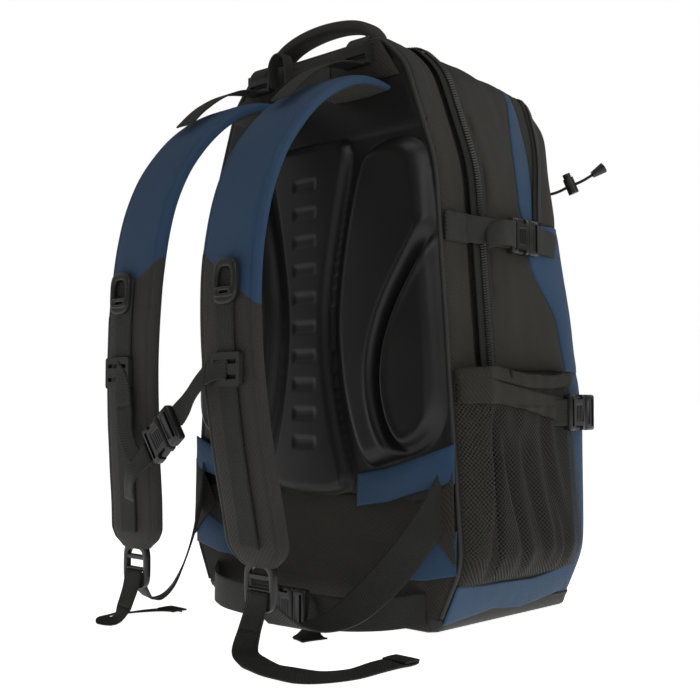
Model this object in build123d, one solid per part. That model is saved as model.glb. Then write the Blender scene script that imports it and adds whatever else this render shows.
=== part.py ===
from build123d import *
import math
import os

# Solar backpack. Millimetres, +Z up, origin on the floor under the middle of the base.
# +X is the wearer's right side, -Y is the back panel, +Y is the front with the solar panel.

# ---- driving dimensions -------------------------------------------------------------
pack_height = 540.0
base_half_width = 150.0
belly_half_width = 180.0
belly_height = 62.0
shoulder_half_width = 153.0
shoulder_height = 415.0
crown_half_width = 118.0
crown_height = 512.0
top_half_width = 88.0
back_y = -100.0          # outer face of the back panel
front_y = 162.0          # fullest point of the front
wall = 3.0               # padded fabric wall of the bag
fold_height = 231.0      # where the front opens down to, and the side pockets end
zip_y = -45.0            # plane of the main zip
seam_gap = 0.6           # gap between the fixed half and the opening half at the zip
board_thickness = 3.3
base_rise = 14.0         # height of the base panel's turned-up edge
webbing_width = 25.0
webbing_thickness = 1.6
clear = 0.3              # running clearance between pieces that are not sewn together
tape_rise = 1.6          # how far the zip tape stands off the wall
tape_width = 12.0
pocket_bulge = 18.0      # how far the mesh side pockets stand off the wall
pocket_wall = 1.6
pocket_rear_y = -84.0
pocket_front_y = 78.0
pocket_floor = 46.0
binding_height = 16.0
strap_width = 74.0
strap_thickness = 13.0
strap_x = 66.0           # centre of each shoulder strap at its root
strap_root_z = 486.0
solar_width = 184.0
solar_height = 150.0
cell_rows = 4
cell_columns = 3
handle_span = 76.0
handle_rise = 35.0
handle_thickness = 12.0
handle_width = 26.0
buckle_width = 34.0
buckle_thickness = 9.0
socket_length = 26.0
prong_reach = 20.0

# ---- nodes --------------------------------------------------------------------------
parts = {}


def solids_of(shape):
    return list(shape.solids())


def put(name, *shapes):
    """Keep the solids of one node."""
    parts.setdefault(name, [])
    for shape in shapes:
        parts[name].extend(solids_of(shape))


def put_pair(name, shape):
    """Keep a piece and its mirror image on the other side in one node."""
    put(name, shape, mirror(shape, about=Plane.YZ))


def block(x0, x1, y0, y1, z0, z1):
    """A box between two corners."""
    return Pos((x0 + x1) / 2, (y0 + y1) / 2, (z0 + z1) / 2) * Box(x1 - x0, y1 - y0, z1 - z0)


# ---- outer shape of the bag ---------------------------------------------------------
big = 400.0

front_view = [
    (base_half_width, 0, 20),
    (belly_half_width, belly_height, 60),
    (shoulder_half_width, shoulder_height, 160),
    (crown_half_width, crown_height, 60),
    (top_half_width, pack_height, 20),
]
front_view += [(-x, z, r) for x, z, r in reversed(front_view)]

side_view = [
    (back_y, 0, 0),
    (back_y, pack_height, 0),
    (zip_y, pack_height, 0),
    (front_y - 100, pack_height - 18, 60),
    (front_y - 42, pack_height - 46, 40),
    (front_y - 24, pack_height - 94, 60),
    (front_y - 6, pack_height - 210, 100),
    (front_y, pack_height - 340, 100),
    (front_y - 4, belly_height, 40),
    (front_y - 28, 0, 0),
]

# The front corners are cut by slanted faces. Each point is the sum of X and Y along the
# slanted face, and the height where it lies.
corner_view = [(246, 0), (272, 60), (278, 180), (266, 275), (245, 351), (232, 418), (234, 476), (196, 512)]
corner_shift = belly_half_width + front_y - 342.0


def outline(points, grow):
    """A closed outline with its own corner radii, grown outwards by an even amount."""
    around = sum(a[0] * b[1] - b[0] * a[1] for a, b in zip(points, points[1:] + points[:1]))
    turn = 1.0 if around > 0 else -1.0
    grown = []
    for i, (u, v, r) in enumerate(points):
        normals = []
        for start, end in ((points[i - 1], points[i]), (points[i], points[(i + 1) % len(points)])):
            run = math.hypot(end[0] - start[0], end[1] - start[1])
            normals.append((turn * (end[1] - start[1]) / run, turn * (start[0] - end[0]) / run))
        nu = normals[0][0] + normals[1][0]
        nv = normals[0][1] + normals[1][1]
        scale = 2 * grow / (nu * nu + nv * nv)
        grown.append((u + nu * scale, v + nv * scale, r + grow))
    face = make_face(Polyline(*[(u, v) for u, v, r in grown], close=True))
    for (u, v, r), (u0, v0, r0) in zip(grown, points):
        if r0:
            face = fillet(face.vertices().sort_by_distance((u, v, 0))[0], r)
    return face


def bag(grow=0.0):
    """The bag's outer shape, grown outwards (or inwards) by an even amount."""
    from_front = extrude(Plane.XZ.offset(-big) * outline(front_view, grow), amount=2 * big)
    from_side = extrude(Plane.YZ.offset(-big) * outline(side_view, grow), amount=2 * big)
    half = [((s + corner_shift) / math.sqrt(2), z, 0) for s, z in corner_view]
    half = [(-big, -20, 0), (half[0][0], -20, 0)] + half + [(120, pack_height + 20, 0), (-big, pack_height + 20, 0)]
    slant = Plane(origin=(0, 0, 0), x_dir=(1, 1, 0), z_dir=(1, -1, 0))
    corner = extrude(slant.offset(-big) * outline(half, grow), amount=2 * big)
    return from_front & from_side & corner & mirror(corner, about=Plane.YZ)


def half_width_at(z):
    """Half the bag's width at a height, without its rounded corners."""
    points = [(0, base_half_width), (belly_height, belly_half_width), (shoulder_height, shoulder_half_width),
              (crown_height, crown_half_width), (pack_height, top_half_width)]
    for (z0, x0), (z1, x1) in zip(points, points[1:]):
        if z <= z1:
            return x0 + (x1 - x0) * (z - z0) / (z1 - z0)
    return top_half_width


outer = bag()
inner = bag(-wall)
skin = outer - inner

# ---- main bag -----------------------------------------------------------------------
put("base_panel", skin & block(-big, big, -big, big, -10, base_rise))
back_face = Plane.XZ * outline(front_view, -1.0)
board_band = block(-big, big, back_y, back_y + board_thickness, base_rise, pack_height)
put("back_board", extrude(back_face, amount=big, both=True) & board_band)
rear_band = block(-big, big, back_y + board_thickness, zip_y - seam_gap, base_rise, pack_height + 5)
put("rear_gusset", skin & rear_band)
tub_band = block(-big, big, zip_y - seam_gap, big, base_rise, fold_height - seam_gap / 2)
put("lower_shell", skin & tub_band)
lid_band = block(-big, big, zip_y, big, fold_height + seam_gap / 2, pack_height + 5)
put("lid_shell", skin & lid_band)

taped = bag(tape_rise) - outer
put("body_zip_track", taped & block(-big, big, zip_y - seam_gap - tape_width, zip_y - seam_gap,
                                    fold_height + seam_gap, pack_height + 5))
put("lid_zip_track", taped & block(-big, big, zip_y, zip_y + tape_width, fold_height + seam_gap, pack_height + 5))

# A padded sleeve for a laptop stands against the back board.
sleeve_half_width = 130.0
sleeve_depth = 32.0
sleeve_top = 380.0
sleeve_wall = 4.0
board_front = back_y + board_thickness
sleeve_front = board_front + sleeve_depth
sleeve = block(-sleeve_half_width, sleeve_half_width, board_front, sleeve_front, wall + clear, sleeve_top)
sleeve -= block(sleeve_wall - sleeve_half_width, sleeve_half_width - sleeve_wall, board_front,
                sleeve_front - sleeve_wall, wall + clear + sleeve_wall, sleeve_top)
sleeve -= block(-big, big, board_front - 5, board_front + 0.3, -5, base_rise)
put("laptop_sleeve", sleeve)

# ---- moulded back panel -------------------------------------------------------------
spine_thickness = 16.0
pad_thickness = 24.0
lumbar_thickness = 12.0
yoke_thickness = 8.0
spine_edge = ThreePointArc((62, 459), (28, 275), (60, 112))
spine = make_face([spine_edge, Line((60, 112), (-60, 112)), mirror(spine_edge, about=Plane.YZ),
                   Line((-62, 459), (62, 459))])
put("spine_pad", extrude(Plane.XZ.offset(-back_y) * spine, amount=spine_thickness))

pad_inner = ThreePointArc((72, 443), (36, 280), (66, 136))
pad_edge = Polyline((66, 136), (150, 160), (165, 190), (164, 250), (156, 366), (146, 443), (72, 443))
pad = extrude(Plane.XZ.offset(-back_y) * make_face([pad_inner, pad_edge]), amount=pad_thickness)
pad = chamfer(pad.faces().sort_by(Axis.Y)[0].edges(), 8)
put_pair("back_pads", pad)

lumbar = Polyline((62, 106), (64, 130), (138, 150), (142, 116), close=True)
put_pair("lumbar_pads", extrude(Plane.XZ.offset(-back_y) * make_face(lumbar), amount=lumbar_thickness))

yoke = Polyline((-112, 502), (112, 502), (84, 536), (-84, 536), close=True)
put("top_yoke", extrude(Plane.XZ.offset(-back_y) * make_face(yoke), amount=yoke_thickness))
yoke_face_y = back_y - yoke_thickness

# ---- side pockets, blue corners and their webbing -----------------------------------
pocket_top = fold_height - 4.0
swollen = bag(pocket_bulge)
swollen_inner = bag(pocket_bulge - pocket_wall)
hug = bag(clear)


def pocket_slab(y0, y1, z0, z1, shape):
    """The part of a grown bag shape on the right side, between two Y planes and two heights."""
    return shape & block(60, big, y0, y1, z0, z1)


binding_floor = pocket_top - binding_height
pocket = pocket_slab(pocket_rear_y, pocket_front_y, pocket_floor, binding_floor, swollen)
pocket -= pocket_slab(pocket_rear_y + pocket_wall, pocket_front_y - pocket_wall, pocket_floor + pocket_wall,
                      binding_floor + 1, swollen_inner)
pocket -= hug
put_pair("mesh_pockets", pocket)

binding = pocket_slab(pocket_rear_y, pocket_front_y, binding_floor, pocket_top, swollen)
binding -= pocket_slab(pocket_rear_y + pocket_wall, pocket_front_y - pocket_wall, binding_floor - 1,
                       pocket_top + 1, swollen_inner)
binding -= hug
put_pair("pocket_bindings", binding)

corner_patch = (bag(1.2) - outer) & block(60, big, pocket_rear_y, pocket_front_y, base_rise, pocket_floor - clear)
put_pair("corner_panels", corner_patch)

# ---- webbing along paths ------------------------------------------------------------


def strip(points, thickness):
    """A flat outline that follows a bent path at an even thickness."""
    sides = ([], [])
    for i, (u, v) in enumerate(points):
        ahead = points[min(i + 1, len(points) - 1)]
        behind = points[max(i - 1, 0)]
        normals = []
        for (u0, v0), (u1, v1) in ((behind, (u, v)), ((u, v), ahead)):
            run = math.hypot(u1 - u0, v1 - v0)
            if run:
                normals.append(((v0 - v1) / run, (u1 - u0) / run))
        nu = sum(n[0] for n in normals)
        nv = sum(n[1] for n in normals)
        scale = thickness / 2 * len(normals) / (nu * nu + nv * nv)
        sides[0].append((u + nu * scale, v + nv * scale))
        sides[1].append((u - nu * scale, v - nv * scale))
    return make_face(Polyline(*sides[0], *reversed(sides[1]), close=True))


def side_band(points, z, width=webbing_width, thickness=webbing_thickness):
    """Webbing that lies against a side wall: the path is in X and Y, the width along Z."""
    return extrude(Plane.XY.offset(z - width / 2) * strip(points, thickness), amount=width)


def hanging_band(points, x, width, thickness):
    """A band that hangs in front of the back: the path is in Y and Z, the width along X."""
    return extrude(Plane.YZ.offset(x - width / 2) * strip(points, thickness), amount=width)


# ---- upper compression straps, one each side, across the main zip -------------------
upper_z = 357.0
upper_wall_x = half_width_at(upper_z - webbing_width / 2)
sewn_x = upper_wall_x + clear + webbing_thickness / 2
over_zip_x = sewn_x + tape_rise
tab_end_y = zip_y - seam_gap - tape_width - 9.0
upper_socket_y = -8.0
upper_tab = side_band([(sewn_x, back_y + board_thickness + 1), (sewn_x, tab_end_y)], upper_z)
buckle_x = over_zip_x + buckle_thickness / 2


def buckle_socket(x, y, z, angle=0.0):
    """The socket half of a side-release buckle, its mouth towards +Y."""
    body = Box(buckle_thickness, socket_length, buckle_width)
    body = fillet(body.edges().filter_by(Axis.Y), 3.0)
    mouth = Pos(0, 3.0, 0) * Box(buckle_thickness - 4.0, socket_length - 4, buckle_width - 8.0)
    bar_slot = Pos(0, 4 - socket_length / 2, 0) * Box(buckle_thickness + 2, 3.4, webbing_width + 1.0)
    return Pos(x, y + socket_length / 2, z) * Rot(0, 0, angle) * (body - mouth - bar_slot)


def buckle_prong(x, y, z):
    """The plug half: a bar with three fingers that reach back into the socket."""
    bar = Pos(0, 8.0, 0) * Box(buckle_thickness, 15.4, buckle_width)
    bar = fillet(bar.edges().filter_by(Axis.Y), 3.0)
    slot = Pos(0, 11.0, 0) * Box(buckle_thickness + 2, 3.4, webbing_width + 1.0)
    fingers = [Pos(0, -prong_reach / 2 + 1, dz) * Box(buckle_thickness - 5.0, prong_reach, 4.6)
               for dz in (-9.8, 0, 9.8)]
    return Pos(x, y + clear, z) * (bar - slot + fingers)


buckle_length = socket_length + clear + 15.7     # both halves joined


upper_prong_y = upper_socket_y + socket_length
upper_bar_y = upper_socket_y + buckle_length + clear
upper_rear = side_band([(sewn_x, tab_end_y + clear), (over_zip_x, tab_end_y + 7), (over_zip_x + 0.3, zip_y - 4),
                        (over_zip_x + 0.3, zip_y + 16), (buckle_x, upper_socket_y - clear)], upper_z)
corner_y = 245.0 + corner_shift - upper_wall_x
upper_front = side_band([(buckle_x, upper_bar_y), (buckle_x - 3.2, upper_bar_y + 12),
                         (sewn_x, upper_bar_y + 24), (sewn_x, corner_y - 2)], upper_z)
put_pair("upper_rear_webbings", upper_rear)
put_pair("upper_sockets", buckle_socket(buckle_x, upper_socket_y, upper_z))
put("upper_prong_right", buckle_prong(buckle_x, upper_prong_y, upper_z))
put("upper_prong_left", mirror(buckle_prong(buckle_x, upper_prong_y, upper_z), about=Plane.YZ))
put_pair("upper_front_webbings", upper_front)

# ---- lower compression straps, across the side pockets ------------------------------
lower_z = 192.0
pocket_face_x = half_width_at(lower_z - webbing_width / 2) + pocket_bulge
lower_x = pocket_face_x + clear + webbing_thickness / 2
lower_buckle_x = lower_x + buckle_thickness / 2 - webbing_thickness / 2
lower_socket_y = 42.0
lower_prong_y = lower_socket_y + socket_length
lower_bar_y = lower_socket_y + buckle_length + clear
rear_wall_x = half_width_at(lower_z - webbing_width / 2)
lower_rear = side_band([(rear_wall_x + clear + 1.2, back_y + board_thickness + 1), (lower_x, pocket_rear_y - 1.5),
                        (lower_x, lower_socket_y - 8), (lower_buckle_x, lower_socket_y - 0.8)], lower_z)
lower_front = side_band([(lower_buckle_x, lower_bar_y + 0.6), (lower_x - 6, lower_bar_y + 12),
                         (rear_wall_x + 1.4, 278 + corner_shift - rear_wall_x - 3)], lower_z)
put_pair("lower_sockets", buckle_socket(lower_buckle_x, lower_socket_y, lower_z))
put("lower_prong_right", buckle_prong(lower_buckle_x, lower_prong_y, lower_z))
put("lower_prong_left", mirror(buckle_prong(lower_buckle_x, lower_prong_y, lower_z), about=Plane.YZ))
put_pair("lower_front_webbings", lower_front)

# ---- shoulder straps ----------------------------------------------------------------
strap_path = [(back_y - 1.5, 487), (-118, 490), (-142, 488), (-168, 477), (-192, 460), (-214, 437), (-234, 408),
              (-249, 372), (-258, 330), (-262, 285), (-262, 240), (-259, 195), (-254, 150), (-248, 105), (-244, 66)]
strap_drop = 20.0        # how far the strap's lower end swings out sideways
strap_end_z = strap_path[-1][1]
strap_front = [(strap_x - strap_width / 2, 505), (strap_x + strap_width / 2, 505)]


def strap_centre(z):
    """X of the strap's centre line at a height: straight above, swinging outwards below."""
    fall = max(0.0, (330.0 - z) / (330.0 - strap_end_z))
    return strap_x + strap_drop * fall ** 1.5


def shoulder_strap():
    """A padded strap: the bent band cut to its curved front outline with a rounded end."""
    band = hanging_band(strap_path, strap_x + 10, strap_width + 60, strap_thickness)
    heights = [505, 330, 285, 240, 195, 150, 105]
    half = strap_width / 2
    right = [(strap_centre(z) + half, z) for z in heights]
    left = [(strap_centre(z) - half, z) for z in heights]
    end = strap_centre(strap_end_z)
    tip = [(end + half - 8, 78), (end + 16, strap_end_z + 1), (end - 16, strap_end_z + 1), (end - half + 8, 78)]
    front = make_face(Polyline(*right, *tip, *reversed(left), close=True))
    return band & extrude(Plane.XZ * front, amount=big, both=True)


right_strap = shoulder_strap()
put("shoulder_strap_right", right_strap)
put("shoulder_strap_left", mirror(right_strap, about=Plane.YZ))


def shifted(points, amount):
    """A path moved square to itself, away from the back."""
    moved = []
    for i, (u, v) in enumerate(points):
        u0, v0 = points[max(i - 1, 0)]
        u1, v1 = points[min(i + 1, len(points) - 1)]
        run = math.hypot(u1 - u0, v1 - v0)
        moved.append((u + (v1 - v0) / run * amount, v - (u1 - u0) / run * amount))
    return moved


# The face webbing is sewn down the outside of each strap, with two gear loops on it.
face_path = shifted(strap_path[6:-1], strap_thickness / 2 + webbing_thickness / 2 + 2 * clear)
face_band = hanging_band(face_path, strap_x + 8, 20.0, webbing_thickness)


def gear_loop(y, z):
    """A moulded rectangular loop sewn on the strap face."""
    ring = Box(30, 5, 24) - Box(20, 8, 12)
    return Pos(strap_x + 8, y, z) * ring


loop_y = face_path[2][0] - 3.6
loops = gear_loop(loop_y, 318.0)
put("strap_trim_right", face_band, loops)
put("strap_trim_left", mirror(face_band, about=Plane.YZ), mirror(loops, about=Plane.YZ))

# ---- sternum strap: slider, webbing, buckle, webbing, slider ------------------------
sternum_z = 228.0
strap_face_y = strap_path[9][0] - strap_thickness / 2 - webbing_thickness - 2 * clear
slider_thickness = 4.0
sternum_y = strap_face_y - slider_thickness / 2 - clear
slider_x = strap_x + 10


def tri_glide(x, y, z, width, height):
    """A flat three-bar slider, thin along Y."""
    plate = fillet(Box(width, slider_thickness, height).edges().filter_by(Axis.Y), 3.0)
    slots = [Pos(0, 0, dz) * Box(width - 8, 6, 3.6) for dz in (-height * 0.22, height * 0.22)]
    return Pos(x, y, z) * (plate - slots)


put("sternum_slider_right", tri_glide(slider_x, sternum_y, sternum_z, 36, 28))
put("sternum_slider_left", tri_glide(-slider_x, sternum_y, sternum_z, 36, 28))

droop = 60.0             # how far the joined sternum strap hangs below its two sliders


def sternum_run(points):
    """Sternum webbing: a path in X and Z, the width along Y tilted flat against the chest."""
    return extrude(Plane.XZ.offset(-(sternum_y - 2.6)) * strip(points, 18.0), amount=webbing_thickness)


sternum_lean = 36.0      # slope of the hanging buckle, degrees
sternum_mid = (-3.0, sternum_z - droop + 6.0)
lean_x = math.cos(math.radians(sternum_lean))
lean_z = math.sin(math.radians(sternum_lean))


def along_buckle(distance):
    """A point on the hanging buckle's own line, counted from its middle, in X and Z."""
    return (sternum_mid[0] + distance * lean_x, sternum_mid[1] + distance * lean_z)


buckle_end = buckle_length / 2 + clear
put("sternum_webbings",
    sternum_run([(slider_x - 19, sternum_z), (slider_x - 36, sternum_z - 12), along_buckle(buckle_end + 8),
                 along_buckle(buckle_end)]),
    sternum_run([along_buckle(-buckle_end), along_buckle(-buckle_end - 8), (-52, sternum_z - droop - 8),
                 (-64, sternum_z - 36), (-60, sternum_z - 12), (19 - slider_x, sternum_z)]))
sternum_plane = Plane(origin=(sternum_mid[0], sternum_y - 3.4, sternum_mid[1]),
                      x_dir=(0, -1, 0), z_dir=(-lean_z, 0, lean_x))
half_back = Pos(0, -buckle_length / 2, 0)
put("sternum_socket", sternum_plane * half_back * buckle_socket(0, 0, 0))
put("sternum_prong", sternum_plane * half_back * buckle_prong(0, socket_length, 0))

# ---- lower ladder locks and the webbing that holds the straps down ------------------
lock_x = strap_x + strap_drop
lock_y = strap_path[-1][0]
lock_top = strap_end_z + 0.1


def ladder_lock():
    """A ladder lock: a frame with two bars, hanging from the strap's lower end."""
    plate = fillet(Box(34, 5.0, 34).edges().filter_by(Axis.Y), 5.0)
    slots = [Pos(0, 0, dz) * Box(26, 8, 5.0) for dz in (-9.0, 0.5, 10.0)]
    return Pos(lock_x, lock_y, lock_top - 17.0) * (plate - slots)


put("ladder_lock_right", ladder_lock())
put("ladder_lock_left", mirror(ladder_lock(), about=Plane.YZ))

lock_bottom = lock_top - 34.0
reach = math.hypot(lock_x - 165, lock_y - back_y + 4)
run_plane = Plane(origin=(165, back_y - 4, 0), x_dir=(lock_x - 165, lock_y - back_y + 4, 0),
                  z_dir=Vector(lock_y - back_y + 4, 165 - lock_x, 0))
run_points = [(5.2, 122), (24, 90), (56, 50), (86, 20), (112, 9), (134, 12), (150, 18), (reach - 5, 26)]
lower_webbing = extrude(run_plane * strip(run_points, webbing_thickness), amount=15.0, both=True)
wing = extrude(Plane.XZ.offset(-back_y) * make_face(Polyline((144, 98), (172, 140), (177, 64), close=True)),
               amount=4.0)

# The free tails fall from the ladder locks and lie on the floor.
floor_gap = 0.6
tail_drop = [(lock_y - 4.2, lock_bottom + 14), (lock_y - 9, 20), (lock_y - 14, 6), (lock_y - 18, floor_gap + 1.0)]


def floor_tail(points):
    """Webbing lying flat on the floor along a path in X and Y."""
    return extrude(Plane.XY.offset(floor_gap) * strip(points, webbing_width), amount=webbing_thickness)


floor_y = lock_y - 12
right_tail = hanging_band(tail_drop, lock_x, webbing_width, webbing_thickness)
right_tail += floor_tail([(lock_x, floor_y), (126, -276), (196, -288), (199, -240), (196, -186)])
left_tail = hanging_band(tail_drop, -lock_x, webbing_width, webbing_thickness)
left_tail += floor_tail([(-lock_x, floor_y), (-104, -272), (-122, -240), (-96, -182)])
put_pair("lower_webbings", lower_webbing)
put("lower_webbings", right_tail, left_tail)

# ---- load lifters -------------------------------------------------------------------
lifter_x = 68.0
lifter = Pos(lifter_x, yoke_face_y - 3.0, 524) * (Box(32, 6, 20) - Pos(0, 0, -3) * Box(26, 8, 5))
put_pair("lifter_locks", lifter)
lifter_path = [(yoke_face_y - 3, 512.8), (-124, 510), (-146, 507), (-170, 496), (-192, 479), (-206, 464)]
put_pair("lifter_webbings", hanging_band(lifter_path, lifter_x, webbing_width, webbing_thickness))

# ---- sewn webbing: rear tabs, hang loop ---------------------------------------------
hang_loop = Pos(-34, yoke_face_y - 6.0, 530) * (Box(26, 12, 36) - Box(22.8, 14, 32.8))
put("sewn_webbings", hang_loop)
for piece in (upper_tab, lower_rear, wing):
    put_pair("sewn_webbings", piece)

# ---- carry handle -------------------------------------------------------------------
handle_y = back_y + handle_width / 2 + 4
handle_foot_z = pack_height + 0.5
outer_arc = ThreePointArc((-handle_span, handle_foot_z), (0, pack_height + handle_rise), (handle_span, handle_foot_z))
inner_span = handle_span - handle_thickness - 4
inner_arc = ThreePointArc((inner_span, handle_foot_z), (0, pack_height + handle_rise - handle_thickness),
                          (-inner_span, handle_foot_z))
handle_face = make_face([outer_arc, Line((handle_span, handle_foot_z), (inner_span, handle_foot_z)), inner_arc,
                         Line((-inner_span, handle_foot_z), (-handle_span, handle_foot_z))])
put("carry_handle", extrude(Plane.XZ.offset(-handle_y) * handle_face, amount=handle_width / 2, both=True))

# ---- hip belt, drooping and joined in front -----------------------------------------
belt_width = 30.0
belt_z = 20.0
belt_socket_x = 20.0
belt_y = -168.0


def belt_run(points):
    """Hip webbing: its path in X and Y, standing on edge."""
    return side_band(points, belt_z, belt_width, webbing_thickness)


put("hip_webbings",
    belt_run([(140, back_y - 1.4), (130, -112), (116, -134), (94, -154), (belt_socket_x + buckle_length + 14, -166),
              (belt_socket_x + buckle_length + clear, belt_y)]),
    belt_run([(-140, back_y - 1.4), (-132, -112), (-104, -136), (-68, -154), (-24, -166),
              (belt_socket_x - clear, belt_y)]))
flat = Plane(origin=(belt_socket_x, belt_y, belt_z), x_dir=(0, -1, 0), z_dir=(0, 0, 1))
put("hip_socket", flat * buckle_socket(0, 0, 0))
put("hip_prong", flat * buckle_prong(0, socket_length, 0))

# ---- main zip sliders and their pulls, parked low on the left side ------------------
slider_length = 15.0
slider_drop = math.degrees(math.atan2(belly_half_width - shoulder_half_width, shoulder_height - belly_height))


def zip_slider(z):
    """A coil zip slider that straddles the tape on the left side."""
    wall_x = half_width_at(z)
    lean = Rot(0, slider_drop, 0)
    rail = Pos(tape_rise + clear + 3.0, -4.6, 0) * Box(6.0, 8.0, slider_length)
    nose = Pos(tape_rise + clear + 4.9, 3.0, 0) * Box(2.2, 7.4, slider_length - 3)
    hoop = Pos(tape_rise + clear + 7.6, -3.0, 0) * (Box(3.2, 4.0, 9.0) - Box(1.9, 6.0, 5.4))
    return Pos(-wall_x, zip_y - seam_gap / 2, z) * lean * mirror(rail + nose + hoop, about=Plane.YZ)


def pull_shape():
    """A ring and a moulded tag that hang from a slider's hoop, thin along X."""
    ring = Pos(0, 0, -5.1) * Box(1.3, 9.0, 7.8) - Pos(0, 0, -4.95) * Box(3, 5.2, 5.1)
    tag = Pos(0, 0, -25.5) * Box(2.6, 9.0, 34.0) - Pos(0, 0, -37) * Box(4, 5, 7)
    return ring + tag


def zip_pull(z):
    """The main zip's pull, hanging beside the left wall."""
    hung = Pos(-(tape_rise + clear + 7.6), -3.0, 0) * pull_shape()
    return Pos(-half_width_at(z), zip_y - seam_gap / 2, z) * Rot(0, slider_drop, 0) * hung


main_slider_z = 290.0
put("main_slider", zip_slider(main_slider_z))
put("main_pull", zip_pull(main_slider_z))

# ---- front pocket on the lid, its zip and slider ------------------------------------
front_pocket_rise = 9.0
front_pocket_half = 112.0
front_pocket_floor = fold_height + 14.0
front_pocket_top = 338.0
puffed = bag(front_pocket_rise)
puffed_inner = bag(front_pocket_rise - pocket_wall)
pocket_box = block(-front_pocket_half, front_pocket_half, 60, big, front_pocket_floor, front_pocket_top)
pocket_hollow = block(pocket_wall - front_pocket_half, front_pocket_half - pocket_wall, 60, big,
                      front_pocket_floor + pocket_wall, front_pocket_top + 1)
front_pocket = (puffed & pocket_box) - (puffed_inner & pocket_hollow) - hug
put("front_pocket", front_pocket)
zip_floor = front_pocket_top - tape_width - 2
pocket_tape = (bag(front_pocket_rise + tape_rise) - puffed) & block(
    -front_pocket_half, front_pocket_half, 60, big, zip_floor, front_pocket_top - 2)
put("pocket_zip_track", pocket_tape)

# ---- solar panel on the upper front -------------------------------------------------
solar_foot = (front_y - 2.0, 350.0)
solar_lean = math.atan2(33.0, 146.0)
solar_plane = Plane(origin=(0, solar_foot[0], solar_foot[1]), x_dir=(-1, 0, 0),
                    z_dir=(0, math.cos(solar_lean), math.sin(solar_lean)))
solar_pad_face = make_face(Polyline((-solar_width / 2, 0), (solar_width / 2, 0), (solar_width / 2, solar_height),
                                    (-solar_width / 2, solar_height), close=True))
solar_pad = extrude(solar_plane * solar_pad_face, amount=-60.0) - outer
solar_pad = solar_pad.solids().sort_by(SortBy.VOLUME)[-1] & block(-big, big, 60, big, 300, pack_height + 20)
put("solar_pad", solar_pad)
sheet_thickness = 2.0
border_width = 12.0
sheet_face = Pos(0, solar_height / 2) * Rectangle(solar_width, solar_height)
put("solar_sheet", extrude(solar_plane * sheet_face, amount=sheet_thickness))
cell_gap = 3.0
cell_zone_w = solar_width - 2 * border_width - 4
cell_zone_h = solar_height - 2 * border_width - 4
cell_w = (cell_zone_w - (cell_columns - 1) * cell_gap) / cell_columns
cell_h = (cell_zone_h - (cell_rows - 1) * cell_gap) / cell_rows
cell_grid = GridLocations(cell_w + cell_gap, cell_h + cell_gap, cell_columns, cell_rows)
for spot in cell_grid.locations:
    cell_face = Pos(0, solar_height / 2) * spot * Rectangle(cell_w, cell_h)
    put("solar_cells", extrude(solar_plane.offset(sheet_thickness) * cell_face, amount=0.6))
rim = Rectangle(solar_width, solar_height) - Rectangle(solar_width - 2 * border_width, solar_height - 2 * border_width)
put("solar_border", extrude(solar_plane.offset(sheet_thickness) * (Pos(0, solar_height / 2) * rim), amount=1.8))

# ---- electronics inside the lid -----------------------------------------------------
pocket_sleeve = block(-62, 102, 60, big, 296, 372) & bag(-wall - clear)
sleeve_back_y = 112.0
pocket_sleeve = pocket_sleeve & block(-big, big, sleeve_back_y, big, 0, big * 2)
pocket_sleeve -= block(-60, 60, sleeve_back_y + 2, 138, 298, 380)
pocket_sleeve -= block(66, 100, sleeve_back_y + 2, 134, 298, 380)
put("battery_pocket", pocket_sleeve)
battery = fillet(block(-56, 56, sleeve_back_y + 3, sleeve_back_y + 23, 298.3, 366).edges().filter_by(Axis.Z), 6)
put("battery_pack", battery)
hub = fillet(block(68, 98, sleeve_back_y + 3, sleeve_back_y + 18, 298.3, 346).edges().filter_by(Axis.Z), 3)
hub -= block(76, 90, sleeve_back_y + 7, sleeve_back_y + 13, 334, 347)
put("charge_hub", hub)

# ---- bungee cord with its lock and toggle, upper right front corner -----------------
bungee_diameter = 3.0
bungee_points = [(118.7, 114.1, 417), (125, 120.4, 418), (131.5, 127, 421), (137.5, 133, 425.5),
                 (143.5, 139, 429), (150, 145.5, 433), (156.5, 152, 439)]
bungee_radii = []
for a, b, c in zip(bungee_points, bungee_points[1:], bungee_points[2:]):
    run_in = Vector(*b) - Vector(*a)
    run_out = Vector(*c) - Vector(*b)
    turn = math.radians(run_in.get_angle(run_out))
    bungee_radii.append(0.45 * min(run_in.length, run_out.length) / math.tan(turn / 2))
print("bungee radii", [round(r, 1) for r in bungee_radii])
bungee_path = FilletPolyline(*bungee_points, radius=bungee_radii)
bungee_start = Plane(origin=bungee_path @ 0, z_dir=bungee_path % 0)
bungee = sweep(bungee_start * Circle(bungee_diameter / 2), path=bungee_path)
print("bungee volume over section x length",
      bungee.volume / (math.pi * bungee_diameter ** 2 / 4 * bungee_path.length))
put("bungee_cord", bungee)
cord_heading = (Vector(*bungee_points[4]) - Vector(*bungee_points[3])).normalized()
lock_at = (Vector(*bungee_points[4]) + Vector(*bungee_points[3])) * 0.5
barrel_plane = Plane(origin=lock_at, x_dir=cord_heading, z_dir=Vector(1, -1, 0).cross(cord_heading))
barrel = Cylinder(5.5, 17) - Rot(0, 90, 0) * Cylinder(bungee_diameter / 2 + 1.0, 30)
barrel -= Pos(0, 0, 8.5 - 3.0) * Cylinder(4.1, 6.2)
put("cord_lock", barrel_plane * barrel)
plunger = Pos(0, 0, 8.5 + 1.4) * Cylinder(4.0, 7.0)
put("cord_plunger", barrel_plane * plunger)
end_heading = (Vector(*bungee_points[6]) - Vector(*bungee_points[5])).normalized()
toggle_plane = Plane(origin=Vector(*bungee_points[6]), z_dir=end_heading)
put("cord_toggle", toggle_plane * (Pos(0, 0, 7) * Cone(3.4, 5.6, 14)))

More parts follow.
